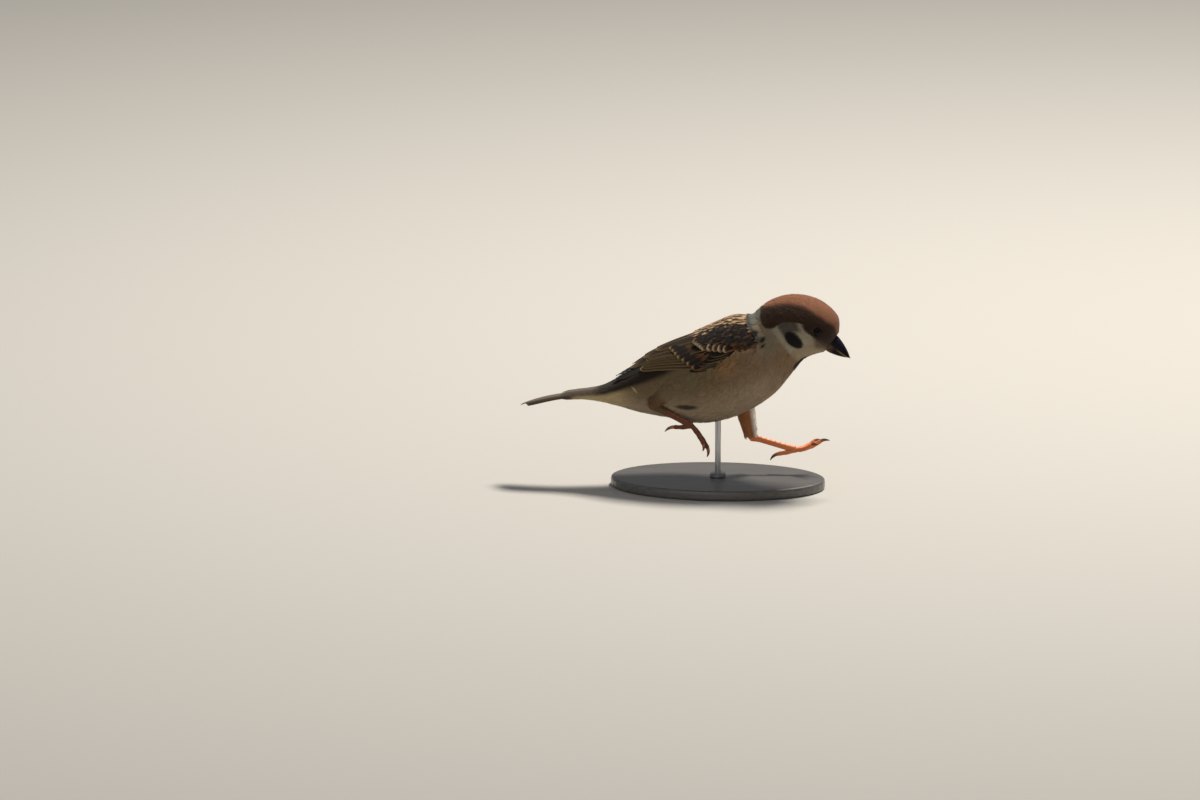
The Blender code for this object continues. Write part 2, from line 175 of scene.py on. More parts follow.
def rib_frame(number):
    """The middle of each rib and half its height, both as (x, z), its half width and fullness."""
    v = rib_values(number)
    return (v[..., :2] + v[..., 2:4]) / 2, (v[..., 2:4] - v[..., :2]) / 2, v[..., 4], v[..., 5]


def alike(*values):
    """Numbers and arrays, spread to one shape."""
    return np.broadcast_arrays(*(np.asarray(value, float) for value in values))


def body_point(number, turn, lift=0.0):
    """Points of the plumage, in millimetres; turn is the angle from the back, + to the left."""
    number, turn, lift = alike(number, turn, lift)
    middle, rise, half, full = rib_frame(number)
    stretch = (1 + lift / np.hypot(rise[..., 0], rise[..., 1])) * np.cos(turn)
    upright = middle + rise * stretch[..., None]
    y = (half + lift) * np.sin(turn) * (1 - full * np.cos(turn))
    return np.stack([upright[..., 0], y, upright[..., 1]], -1) + BIRD_ORIGIN


def worth(surface, p, q):
    """How many millimetres one unit of each coordinate is worth at a place on a surface."""
    step = 1e-3
    along = surface(p + step, q, 0.0) - surface(p - step, q, 0.0)
    around = surface(p, q + step, 0.0) - surface(p, q - step, 0.0)
    return np.linalg.norm(along, axis=-1) / (2 * step), np.linalg.norm(around, axis=-1) / (2 * step)


gap = body_point(8.0, 0.0)[2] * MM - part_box("trunk")[1].z
print("ribs against the packed trunk, mm:", round(gap / MM, 2))

# %% [markdown]
# ## Markings
#
# A tree sparrow is told by its head: a chestnut cap, a white cheek with a black patch in it, a
# black chin and a pale collar. The markings are bands and patches in the body's own coordinates,
# so one function colours the skin and every feather at a place. Colours are written as sRGB hex
# values, as in a paint box, and one function turns them into the linear values that Blender uses.

# %% Paint box
def paint(code):
    """The linear colour of an sRGB hex value."""
    value = np.array([int(code[i:i + 2], 16) for i in (0, 2, 4)]) / 255
    return np.where(value <= 0.04045, value / 12.92, ((value + 0.055) / 1.055) ** 2.4)


# The darker chestnut is the lesser coverts' own colour, and also the painted shade on the cap's sides.
CHESTNUT, DARK_AND_SHADED_CHESTNUT = paint("98664A"), paint("312218")
BLACK, SOOT, DOWN = paint("191513"), paint("2E2620"), paint("5F5851")
CHEEK_WHITE, COLLAR_GREY, NAPE_GREY = paint("9F937E"), paint("85765F"), paint("757369")
EAR_GREY = paint("464037")
CHEEK_SHADE, EYE_BROWN, FACE_BROWN = paint("9A8A72"), paint("33241B"), paint("5A4635")
BREAST, BELLY, FLANK, UNDERTAIL = paint("836A50"), paint("9C8870"), paint("716146"), paint("B8A27A")
MANTLE_BUFF, RUMP, BACK_BROWN = paint("CDA57C"), paint("2A2018"), paint("5E4530")
COVERT_CHESTNUT, BAR_WHITE, EDGE_BUFF = paint("7A4A26"), paint("A8946E"), paint("776242")
LESSER_BROWN, TIP_BUFF, OLIVE_BROWN = paint("4F3320"), paint("A3865A"), paint("53432C")
FRONT_ORANGE = paint("A0703F")
PRIMARY_GLINT, EDGE_PALE = paint("9C9482"), paint("AC9973")
QUILL_DARK, FLIGHT_DARK, TAIL_DARK = paint("1B1512"), paint("0E0F18"), paint("4E4236")
TAIL_EDGE, TAIL_TOP, COLLAR_PAINTED_SHADE = paint("7E6E52"), paint("7A6E5E"), paint("3E4040")
print("chestnut of the cap, linear:", CHESTNUT.round(3))


def blend(first, second, share):
    return first + (second - first) * np.asarray(share)[..., None]


def layered(colour, *layers):
    """A colour with (colour, share) layers laid over it, one after another."""
    for over, share in layers:
        colour = blend(colour, over, share)
    return colour


def ramp(low, high, value):
    """0 below low, 1 above high, and smooth between; low may be the larger of the two."""
    t = np.clip((value - low) / (high - low), 0.0, 1.0)
    return t * t * (3 - 2 * t)


def read_off(table, at, column=1):
    """A column of a table where its first column has the value at, with straight lines between."""
    return np.interp(at, table[:, 0], table[:, column])


# %% Where each marking lies
# Rib number, and the angle at which the chestnut cap ends there.
CAP_EDGE = np.array([
    (9.5, 50.0), (9.6, 60.0), (9.85, 67.0), (10.15, 71.0), (10.5, 70.0), (11.0, 71.0), (11.5, 75.0),
    (12.0, 80.0), (12.5, 85.0), (13.0, 87.0), (13.6, 90.0), (15.0, 97.0),
])
CAP_START = np.array([(0.0, 9.95), (20.0, 9.9), (38.0, 9.6), (50.0, 9.5)])   # angle, rib number
# Rib number, and the angle past which the cap's sides carry painted shade, in dark chestnut, there.
CAP_PAINTED_SHADE = np.array([
    (9.8, 0.0), (10.3, 18.0), (10.65, 28.0), (11.55, 37.0), (12.3, 45.0), (12.9, 56.0), (13.5, 60.0),
    (14.1, 53.0), (15.0, 42.0),
])
# The dark of the lores and round the eye: its lower edge's angle, and the rib where it begins.
EYE_EDGE = np.array([
    (60.0, 12.0), (80.0, 12.02), (90.0, 12.05), (98.0, 12.22), (103.0, 12.5), (110.0, 12.85),
    (118.0, 13.15), (123.0, 13.6), (126.0, 15.0),
])
# Round marks: rib number, angle, and half the length and the height in the same units.
EAR_PATCH = (10.95, 107.0, 0.6, 19.0)
CHEEK_LIGHT = (10.2, 83.0, 0.22, 5.0)
ORANGE_WASH = (6.6, 78.0, 0.55, 12.0)
# a painted shadow of the right leg on the belly
LEG_SHADOW_SPOT = (4.8, -120.0, 0.5, 4.5)    # on the right flank only
NECK_MARKS = ((8.55, 55.0, 0.45, 6.0), (8.95, 71.0, 0.28, 4.0), (8.75, 79.0, 0.2, 2.5))
# Rib number, and the angle at which the dark of the rump and the back ends there; below the wing's tip
# this dark reaches down the side as painted shade under the wing.
RUMP_AND_SHADE_EDGE = np.array([
    (-2.0, 76.0), (0.0, 72.0), (1.2, 74.0), (2.0, 78.0), (2.8, 78.0), (3.8, 72.0), (4.6, 62.0),
    (9.0, 66.0),
])
print("corners of the cap's edge:", len(CAP_EDGE), "marks on the neck:", len(NECK_MARKS))


# %% Angles and distances on the body
def degrees_from_back(turn):
    return np.degrees(np.abs((turn + np.pi) % (2 * np.pi) - np.pi))


def collar_start(angle):
    """The rib where the collar begins; it reaches further back over the mantle."""
    return 8.25 - 0.2 * ramp(76, 50, angle)


def from_middle(mark, number, angle):
    """How far each place lies from a round mark's middle: 1 on its rim."""
    centre, middle, half, reach = mark
    return np.hypot((number - centre) / half, (angle - middle) / reach)


# %% Colours of the body
def body_colour(number, angle):
    """Plumage of the body and the neck, without the head."""
    start = collar_start(angle)
    tail = blend(TAIL_TOP, TAIL_DARK, ramp(5, 45, angle))
    back = layered(RUMP, (MANTLE_BUFF, ramp(4.6, 5.8, number)), (tail, ramp(1.0, 0.1, number)))
    # painted shade: a cool dark grey over the collar's upper rear edge, where it meets the mantle
    painted_collar_shade = ramp(start + 0.95, start + 0.3, number) * ramp(84, 58, angle) * 0.9
    collar = layered(NAPE_GREY, (COLLAR_GREY, ramp(26, 48, angle)), (COLLAR_PAINTED_SHADE, painted_collar_shade))
    return layered(
        FLANK,
        (BREAST, ramp(4.5, 8.0, number)),
        (BELLY, ramp(92, 135, angle) * ramp(9.3, 7.6, number)),
        (UNDERTAIL, ramp(3.0, 1.4, number) * ramp(74, 96, angle)),
        (TAIL_DARK, ramp(-0.45, -0.8, number)),
        (FRONT_ORANGE, np.exp(-(from_middle(ORANGE_WASH, number, angle) ** 2)) * 0.45),
        # the rump's own dark, carried down the side below the wing's tip as painted shade
        (back, ramp(7, -7, angle - read_off(RUMP_AND_SHADE_EDGE, number)) * ramp(9.0, 8.8, number)),
        (collar, ramp(start, start + 0.35, number) * ramp(116, 88, angle)),
    )


# %% One colour for each place on the bird
def cheek_layers(number, angle):
    """The cheek is white, shaded below and in front, with the dark ear patch and a black chin."""
    _, middle, half, reach = EAR_PATCH
    leaning = number - 0.2 * half * (angle - middle) / reach
    chin = np.interp(number, (9.1, 9.5, 10.6, 11.2, 12.0, 15.0), (156, 153, 157, 164, 168, 160))
    return (
        (CHEEK_WHITE, ramp(9.7, 10.1, number) * ramp(140, 118, angle)),
        (CHEEK_SHADE, ramp(9.6, 10.2, number) * ramp(116, 136, angle)),
        (FACE_BROWN, ramp(12.3, 12.95, number) * ramp(150, 124, angle) * 0.85),
        (EAR_GREY, ramp(10.25, 10.6, number) * ramp(12.0, 11.6, number) * ramp(102, 88, angle) * 0.9),
        (BLACK, ramp(1.15, 0.88, from_middle(EAR_PATCH, leaning, angle))),
        (CHEEK_WHITE, ramp(1.2, 0.6, from_middle(CHEEK_LIGHT, number, angle)) * 0.9),
        (BLACK, ramp(9.05, 9.4, number) * ramp(-2.5, 2.5, angle - chin)),
        *((BLACK, ramp(1.2, 0.6, from_middle(mark, number, angle)) * 0.9) for mark in NECK_MARKS),
    )


def place_colour(number, turn):
    """The colour of plain plumage at a place on the body."""
    angle = degrees_from_back(turn)
    cap = ramp(-0.1, 0.08, number - read_off(CAP_START, angle))
    cap = cap * ramp(1.5, -1.5, angle - read_off(CAP_EDGE, number))
    # painted shade: the cap is bright chestnut on top and darker chestnut down its sides and at its rear
    chestnut = blend(CHESTNUT, DARK_AND_SHADED_CHESTNUT, ramp(-9, 7, angle - read_off(CAP_PAINTED_SHADE, number)) * 0.95)
    dark = ramp(-0.12, 0.12, number - read_off(EYE_EDGE, angle))
    dark = dark * ramp(72, 84, angle + 4 * ramp(13.0, 14.5, number))
    lores = ramp(13.7, 14.3, number) * ramp(108, 98, angle)
    around_eye = layered(EYE_BROWN, (FACE_BROWN, ramp(103, 120, angle) * 0.8), (EYE_BROWN * 0.95, lores))
    # a dark spot of painted shadow where the right leg shades the belly
    leg_shadow = from_middle(LEG_SHADOW_SPOT, number, np.degrees(turn))
    return layered(body_colour(number, angle), *cheek_layers(number, angle), (chestnut, cap),
                   (around_eye, dark), (SOOT, ramp(1.2, 0.5, leg_shadow) * 0.9))


print("colour in the middle of the cap, linear:", place_colour(11.0, 0.0).round(3))

# %% [markdown]
# ## Making meshes
#
# Long smooth pieces, such as the skin of the body, start as a flat grid primitive that is rolled
# up: each vertex of the grid is moved to its place by a formula, the seam is welded and the ends
# are filled. Feathers are far too many for that, so their vertices are worked out as arrays and
# turned into one joined mesh for each part of the coat.

# %% Helpers for objects
def deselect_all():
    bpy.ops.object.select_all(action="DESELECT")


def finish_piece(obj, material):
    """Gives a piece its material, and lets it ride on the bird."""
    obj.data.shade_smooth()
    obj.data.materials.clear()
    obj.data.materials.append(material)
    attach(obj, "root")
    return obj


def vertex_array(mesh):
    flat = np.empty(len(mesh.vertices) * 3)
    mesh.vertices.foreach_get("co", flat)
    return flat.reshape(-1, 3)


def vertex_places(mesh):
    """A mesh's vertices in millimetres."""
    return vertex_array(mesh) / MM


def move_vertices(mesh, places):
    """Puts a mesh's vertices at places in millimetres."""
    mesh.vertices.foreach_set("co", (places * MM).ravel())


# %% New meshes
def quad_mesh(name, points, quads):
    """A new piece from points in millimetres and the four corners of each face."""
    mesh = bpy.data.meshes.new(name)
    mesh.vertices.add(len(points))
    mesh.vertices.foreach_set("co", (points * MM).astype(np.float32).ravel())
    mesh.loops.add(quads.size)
    mesh.loops.foreach_set("vertex_index", quads.astype(np.int32).ravel())
    mesh.polygons.add(len(quads))
    mesh.polygons.foreach_set("loop_start", np.arange(0, quads.size, 4, dtype=np.int32))
    mesh.update(calc_edges=True)
    piece = bpy.data.objects.new(name, mesh)
    bpy.context.scene.collection.objects.link(piece)
    return piece


def grid_quads(index):
    """The corners of each face of a grid, from its vertices' numbers in the last two axes."""
    return np.stack([index[..., :-1, :-1], index[..., :-1, 1:],
                     index[..., 1:, 1:], index[..., 1:, :-1]], -1)


def rolled_grid(name, rows, columns, place):
    """A grid rolled into a tube; place gives points in millimetres from two arrays, 0 to 1."""
    deselect_all()
    bpy.ops.mesh.primitive_grid_add(x_subdivisions=rows, y_subdivisions=columns, size=1.0)
    obj = bpy.context.object
    obj.name = obj.data.name = name
    flat = vertex_array(obj.data)
    move_vertices(obj.data, place(flat[:, 0] + 0.5, flat[:, 1] + 0.5))
    bpy.ops.object.mode_set(mode="EDIT")
    bpy.ops.mesh.select_all(action="SELECT")
    bpy.ops.mesh.remove_doubles(threshold=1e-6)
    bpy.ops.mesh.select_all(action="SELECT")
    bpy.ops.mesh.fill_holes(sides=0)
    bpy.ops.mesh.select_all(action="SELECT")
    bpy.ops.mesh.normals_make_consistent(inside=False)
    bpy.ops.object.mode_set(mode="OBJECT")
    return obj


# %% Joining, modifiers and painted colours
def join(objects, name):
    deselect_all()
    for obj in objects:
        obj.select_set(True)
    bpy.context.view_layer.objects.active = objects[0]
    bpy.ops.object.join()
    objects[0].name = objects[0].data.name = name
    return objects[0]


def apply(obj, kind, **settings):
    """Adds a modifier with its settings and applies it."""
    deselect_all()
    obj.select_set(True)
    bpy.context.view_layer.objects.active = obj
    modifier = obj.modifiers.new(kind.lower(), kind)
    for key, value in settings.items():
        setattr(modifier, key, value)
    bpy.ops.object.modifier_apply(modifier=modifier.name)


def colour_vertices(mesh, colours):
    attribute = mesh.color_attributes.new(name="Colour", type="FLOAT_COLOR", domain="POINT")
    rgba = np.ones((len(colours), 4), np.float32)
    rgba[:, :3] = np.clip(colours, 0.0, 1.0)
    attribute.data.foreach_set("color", rgba.ravel())


# %% Node helpers
def set_inputs(node, **values):
    """Sets a node's sockets; an underscore stands for a space in a socket's name."""
    for key, value in values.items():
        node.inputs[key.replace("_", " ")].default_value = value


def add_node(tree, kind, links=(), **settings):
    """Adds a node; settings are properties or in_ sockets, and links are (input, socket)."""
    node = tree.nodes.new(kind)
    for key, value in settings.items():
        if key.startswith("in_"):
            set_inputs(node, **{key[3:]: value})
        else:
            setattr(node, key, value)
    for key, socket in links:
        tree.links.new(socket, node.inputs[key])
    return node


def new_material(name):
    material = bpy.data.materials.new(name)
    material.use_nodes = True
    return material, material.node_tree, material.node_tree.nodes["Principled BSDF"]


# %% [markdown]
# ## Materials of the living bird
#
# Skin, horn and feathers all have a fine grain, which is noise stretched along one way. One
# function makes it, at its size in millimetres, and bumps the surface with it; a second lays it
# over colours painted on the vertices, because the markings follow the bird.
#
# A feather is keratin: thin branches lie side by side along the shaft and catch the light as
# fine lines. They are about 0.3 mm apart here, which is a little coarser than real, so that they
# show. The lines follow each feather through a UV map named Barbs, in millimetres along and
# across the feather. Horn, scales and the wet eye take their grain from the object's own place.

# %% Grain and paint
BUMP_DEPTH = 0.1 * MM


def grained(name, where, grain, detail, rough, strength, depth=BUMP_DEPTH, **finish):
    """A material bumped by noise with a size along each axis, and what to build on.

    where is Object, in metres, or the name of a UV map, in its own unit. A finish value goes on
    the shader's own socket.
    """
    material, tree, shader = new_material(name)
    if where == "Object":
        place = add_node(tree, "ShaderNodeTexCoord").outputs["Object"]
    else:
        place = add_node(tree, "ShaderNodeUVMap", uv_map=where).outputs["UV"]
    stretch = add_node(tree, "ShaderNodeMapping", [("Vector", place)],
                       in_Scale=[1 / size for size in grain])
    noise = add_node(tree, "ShaderNodeTexNoise", [("Vector", stretch.outputs["Vector"])],
                     in_Scale=1.0, in_Detail=detail, in_Roughness=rough)
    bump = add_node(tree, "ShaderNodeBump", [("Height", noise.outputs["Fac"])],
                    in_Strength=strength, in_Distance=depth)
    tree.links.new(bump.outputs["Normal"], shader.inputs["Normal"])
    set_inputs(shader, **finish)
    return material, tree, shader, noise


def painted(name, where, grain, detail, rough, strength, tint, **finish):
    """Painted vertices; the grain lightens and darkens them by the tint."""
    material, tree, shader, noise = grained(name, where, grain, detail, rough, strength, **finish)
    colour = add_node(tree, "ShaderNodeVertexColor", layer_name="Colour")
    tone = add_node(tree, "ShaderNodeMapRange", [("Value", noise.outputs["Fac"])],
                    in_To_Min=1 - tint, in_To_Max=1 + tint)
    shaded = add_node(tree, "ShaderNodeVectorMath", [(0, colour.outputs["Color"]),
                                                     (1, tone.outputs["Result"])],
                      operation="MULTIPLY")
    tree.links.new(shaded.outputs["Vector"], shader.inputs["Base Color"])
    return material


# %% Feathers: their lines are long, and 0.3 or 0.25 mm apart
LINE_LENGTH, SOFT_LINES, FIRM_LINES = 2.0, 0.30, 0.25
SOFT_FEATHER = painted("soft_contour_feather", "Barbs", (LINE_LENGTH, SOFT_LINES, 1.0), 3.0, 0.6,
                       0.22, 0.1, Roughness=0.85, Sheen_Weight=0.1, Specular_IOR_Level=0.15)
FIRM_FEATHER = painted("firm_flight_feather", "Barbs", (LINE_LENGTH, FIRM_LINES, 1.0), 3.0, 0.6,
                       0.5, 0.22, Roughness=0.65, Specular_IOR_Level=0.15)
print("feather materials:", SOFT_FEATHER.name, FIRM_FEATHER.name)


# %% Skin, horn and eye
def keratin(name, grain_mm, strength, roughness, shine):
    """Skin, scale or horn, with a grain in millimetres."""
    grain = [size * MM for size in grain_mm]
    return painted(name, "Object", grain, 4.0, 0.55, strength, 0.15,
                   Roughness=roughness, Specular_IOR_Level=shine)


BIRD_SKIN = keratin("bird_skin", (0.5, 0.5, 0.5), 0.3, 0.7, 0.2)
LEG_SCALE = keratin("leg_scale_keratin", (0.35, 0.35, 0.35), 0.25, 0.42, 0.5)
BILL_HORN = keratin("bill_horn", (0.4, 0.2, 0.2), 0.2, 0.4, 0.06)
CLAW_HORN = keratin("claw_horn", (0.3, 0.3, 0.3), 0.2, 0.4, 0.3)
EYE_WET = keratin("wet_cornea", (2.0, 2.0, 2.0), 0.0, 0.05, 0.1)
print("other materials:", *(m.name for m in (BIRD_SKIN, LEG_SCALE, BILL_HORN, CLAW_HORN, EYE_WET)))

# %% [markdown]
# ## Skin
#
# The skin is one closed mesh, as on the real bird. The body is the rolled grid, held inside the
# plumage by the depth of the coat: half a millimetre on the face, over one on the body, and two
# under the folded wing. The bare legs keep their full size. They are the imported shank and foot
# with a heel and a shin added, fused by a voxel remesh, which rounds the knuckles, and a union
# joins the legs to the body.

# %% Wing outline and coat depth
# Rib number, then the upper and lower edge of the folded wing in degrees from the back.
WING_EDGES = np.array([
    (0.55, 9.0, 14.0), (1.0, 4.0, 40.0), (2.0, 3.5, 49.0), (3.0, 5.0, 52.0), (4.0, 11.0, 59.0),
    (5.0, 18.0, 68.0), (6.0, 25.0, 78.0), (7.0, 33.0, 86.0), (7.8, 44.0, 84.0), (8.3, 60.0, 70.0),
])
WING_SINK = 1.0                 # how much deeper the coat lies under the folded wing


def under_wing(number, turn):
    """1 where the folded wing covers the body, 0 where it doesn't."""
    angle = degrees_from_back(turn)
    upper = read_off(WING_EDGES, number)
    lower = read_off(WING_EDGES, number, 2)
    inside = ramp(-3.0, 3.0, angle - upper) * ramp(5.0, -1.0, angle - lower)
    return inside * ramp(0.6, 1.0, number) * ramp(8.4, 7.9, number)


def coat_depth(number, turn):
    """The depth of the coat over the skin, in millimetres."""
    ribs = (-2.0, 0.0, 1.5, 4.0, 8.0, 10.0, 12.0, 13.5, 15.0)
    depth = np.interp(number, ribs, (0.5, 0.8, 1.1, 1.5, 1.4, 1.0, 0.7, 0.45, 0.35))
    return depth + WING_SINK * under_wing(number, turn)


print("coat on the breast and under the wing, mm:",
      coat_depth(7.0, math.pi), coat_depth(3.0, math.radians(30)))


# %% Skin of the body
SKIN_ROWS, SKIN_COLUMNS = 200, 96
SKIN_SINK = 0.15                # how much lower the skin lies than the feathers' roots


def skin_place(row, column):
    number = row * LAST_RIB
    turn = (column - 0.5) * 2 * np.pi
    return body_point(number, turn, -coat_depth(number, turn) - SKIN_SINK)


body_skin = rolled_grid("skin", SKIN_ROWS, SKIN_COLUMNS, skin_place)
print("vertices of the body's skin:", len(body_skin.data.vertices))

# %% Legs: joints in the ribs' own coordinates, and angles in degrees
LEGS = {
    "left": {"side": 1.0, "knee": (20.3, 9.0, 36.0), "ankle": (25.0, 9.0, 14.7),
             "foot": (43.2, 9.4, 9.6), "bare_shin": 1.7, "toes": (2.0, 38.0),
             "hind_toe": (203.0, 188.0), "spread": 24.0},
    "right": {"side": -1.0, "knee": (-4.0, -12.0, 39.0), "ankle": (-12.4, -13.8, 31.6),
              "foot": (3.9, -12.8, 23.0), "bare_shin": 3.0, "toes": (-46.0, -62.0),
              "hind_toe": (196.0, 176.0), "spread": 16.0},
}
# Toe number: length of the toe and of its claw, and its share of the spread (outwards is +).
TOES = {1: (6.8, 4.8, 0.0), 2: (7.9, 3.6, -1.0), 3: (10.7, 4.2, 0.0), 4: (8.3, 3.5, 1.0)}
SHANK_RADIUS, SHANK_DEPTH = 1.12, 1.2      # across, and its depth as a share of that
PAD_BACK = 0.6                  # from the end of the shank to the root of the toes
TOE_RADII = (0.98, 0.78)
TOE_JOINTS = {1: 2, 2: 3, 3: 3, 4: 3}
HEEL_BALL, PAD_BALL, PAD_DROP = 1.4, 1.05, 0.15
BARE_SHIN_BALLS = np.linspace(1.28, 1.40, 9)
THIGH_END_RADIUS, THIGH_SWELL, THIGH_COAT = 2.9, 2.0, 0.75
LEG_VOXEL = 0.15
print("toes of a foot and the joints along each:", TOE_JOINTS)


# %% Middle lines of shanks, toes and claws
SHANK_STEPS, CURL_STEPS = 20, 20
CLAW_BEND = 62.0                # degrees from a claw's root to its point


def leg_joint(side, name):
    return np.array(LEGS[side][name]) + BIRD_ORIGIN


def unit(vector):
    return vector / np.linalg.norm(vector)


def curled(start, first, last, yaw, length):
    """Points along an arc that leaves at one angle above the heading and ends at another."""
    pitch = np.radians(first + (last - first) * (np.arange(CURL_STEPS) + 0.5) / CURL_STEPS)
    turn = math.radians(yaw)
    ways = np.stack([np.cos(pitch) * math.cos(turn), np.cos(pitch) * math.sin(turn), np.sin(pitch)], 1)
    return np.concatenate([start[None], start + np.cumsum(ways, 0) * (length / CURL_STEPS)])


def flat_side(yaw):
    return np.array([-math.sin(math.radians(yaw)), math.cos(math.radians(yaw)), 0.0])


def shank_path(side):
    """The bare shank from the heel to the root of the toes, and its sideways direction."""
    ankle, foot = leg_joint(side, "ankle"), leg_joint(side, "foot")
    way = unit(foot - ankle)
    path = ankle + way * np.linspace(0, np.linalg.norm(foot - ankle) - PAD_BACK, SHANK_STEPS + 1)[:, None]
    return path, unit(np.cross((0.0, 0.0, 1.0), way))


def toe_path(side, number):
    """The middle line of a toe, its claw's middle line and its sideways direction."""
    leg, (length, claw_length, share) = LEGS[side], TOES[number]
    first, last = leg["hind_toe"] if number == 1 else leg["toes"]
    yaw = leg["side"] * leg["spread"] * share
    toe = curled(shank_path(side)[0][-1], first, last, yaw, length)
    bend = -1.0 if number == 1 else 1.0
    claw = curled(toe[-1], last, last - bend * CLAW_BEND, yaw, claw_length)
    return toe, claw, flat_side(yaw)


print("length of the left middle toe's line, mm:",
      round(float(np.linalg.norm(np.diff(toe_path("left", 3)[0], axis=0), axis=1).sum()), 1))


# %% Surfaces round those lines
def along_path(path, across, f, turn, radius, depth=1.0):
    """Points round a path that keeps one sideways direction; turn 90 degrees is its upper side."""
    grid = np.linspace(0, 1, len(path))
    spot = np.stack([np.interp(f, grid, path[:, k]) for k in range(3)], -1)
    slope = np.gradient(path, axis=0)
    way = np.stack([np.interp(f, grid, slope[:, k]) for k in range(3)], -1)
    way /= np.linalg.norm(way, axis=-1)[..., None]
    up = np.cross(way, across)
    up *= 1.0 if across[1] > 0 and way[..., 0].mean() > 0 else -1.0
    return (spot + across * (np.cos(turn) * radius)[..., None]
            + up * (np.sin(turn) * radius * depth)[..., None])


def shank_radius(f):
    """A heel at the top, a slender middle and a knuckle at the toes."""
    heel, knuckle = np.exp(-((f / 0.12) ** 2)), np.exp(-(((f - 1) / 0.14) ** 2))
    return SHANK_RADIUS * (0.88 + 0.42 * heel + 0.2 * knuckle)


def toe_radius(f, joints):
    """A toe that narrows, with a soft swelling at each joint."""
    base = TOE_RADII[0] + (TOE_RADII[1] - TOE_RADII[0]) * f
    return base * (0.94 + 0.13 * np.cos(np.pi * f * joints) ** 2)


def thigh_frame(side):
    """Start and end of the feathered shin, and two crosswise directions."""
    knee, ankle = leg_joint(side, "knee"), leg_joint(side, "ankle")
    axis = unit(ankle - knee)
    across = unit(np.cross(axis, (0.0, 1.0, 0.0)))
    return knee, ankle - axis * LEGS[side]["bare_shin"], across, np.cross(axis, across)


def thigh_point(side, p, q, lift=0.0):
    """Points round the feathered shin: p is 0 at the knee and 1 at its end, q the angle."""
    p, q, lift = alike(p, q, lift)
    knee, end, across, out = thigh_frame(side)
    radius = THIGH_END_RADIUS + THIGH_SWELL * (1 - np.clip(p, 0, 1) ** 1.1) + lift
    ring = np.cos(q)[..., None] * across + np.sin(q)[..., None] * out
    return knee + (end - knee) * p[..., None] + ring * radius[..., None]


# %% One skin from body and legs
def add_ball(name, centre, radius, segments=24):
    deselect_all()
    bpy.ops.mesh.primitive_uv_sphere_add(segments=segments, ring_count=segments // 2,
                                         radius=radius * MM, location=Vector(centre) * MM)
    bpy.ops.object.transform_apply(location=True, rotation=True, scale=True)
    bpy.context.object.name = name
    return bpy.context.object


def make_leg_skin(side):
    """Feathered shin, bare heel, shank and toes of one leg, fused into one skin."""
    def shin(row, column):
        return thigh_point(side, row, column * 2 * np.pi, -THIGH_COAT)

    def shank(row, column):
        return along_path(path, across, row, column * 2 * np.pi, shank_radius(row), SHANK_DEPTH)

    parts = [rolled_grid("shin_skin", 24, 32, shin)]
    _, end, _, _ = thigh_frame(side)
    ankle = leg_joint(side, "ankle")
    for share, radius in zip(np.linspace(0, 1, len(BARE_SHIN_BALLS)), BARE_SHIN_BALLS):
        parts.append(add_ball("bare_shin", end + (ankle - end) * share, radius))
    path, across = shank_path(side)
    parts.append(rolled_grid("shank", 32, 24, shank))
    parts.append(add_ball("heel", ankle, HEEL_BALL))
    parts.append(add_ball("pad", path[-1] - np.array((0.0, 0.0, PAD_DROP)), PAD_BALL))
    for number in TOES:
        toe, _, flat = toe_path(side, number)

        def phalanges(row, column):
            radius = toe_radius(row, TOE_JOINTS[number])
            return along_path(toe, flat, row, column * 2 * np.pi, radius)

        parts.append(rolled_grid("toe", 40, 20, phalanges))
        parts.append(add_ball("toe_end", toe[-1], TOE_RADII[1] * 1.02, 16))
    leg = join(parts, f"leg_skin_{side}")
    leg.data.remesh_voxel_size = LEG_VOXEL * MM
    bpy.context.view_layer.objects.active = leg
    bpy.ops.object.voxel_remesh()
    apply(leg, "SMOOTH", factor=0.5, iterations=3)
    return leg


legs = [make_leg_skin(side) for side in LEGS]
for leg in legs:
    apply(body_skin, "BOOLEAN", operation="UNION", solver="EXACT", object=leg)
    bpy.data.objects.remove(leg)
print("skin triangles:", sum(len(p.vertices) - 2 for p in body_skin.data.polygons))


# %% Colour of the skin
# Both legs have one orange skin: the left's brighter tone is painted light, the right's dark red-brown is
# painted shade.
LIT_AND_SHADED_LEG_TONES = {"left": paint("F08C5A"), "right": paint("6E402E")}
LEG_MARGIN = 1.2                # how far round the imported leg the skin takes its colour
SKIN_DARKER = 0.8               # the skin under the feathers, as a share of their colour


def leg_share(places, side):
    """1 on a bare leg and 0 elsewhere, for points in millimetres."""
    bare = np.zeros(len(places))
    for node in (f"tarsus_{side}", f"foot_{side}"):
        low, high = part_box(node)
        low, high = np.array(low) / MM - LEG_MARGIN, np.array(high) / MM + LEG_MARGIN
        bare = np.maximum(bare, np.all((places > low) & (places < high), axis=1))
    return bare


def nearest_place(places):
    """Rib number and angle of the body places nearest to some points."""
    numbers = np.linspace(0, LAST_RIB, 240)
    centres = (body_point(numbers, 0.0) + body_point(numbers, np.pi)) / 2
    spine = np.linalg.norm(places[:, None, (0, 2)] - centres[None, :, (0, 2)], axis=2)
    found = numbers[np.argmin(spine, axis=1)]
    middle, rise, half, _ = rib_frame(found)
    out = places[:, (0, 2)] - (middle + BIRD_ORIGIN[[0, 2]])
    return found, np.arctan2(places[:, 1] / half, (out * rise).sum(1) / (rise**2).sum(1))


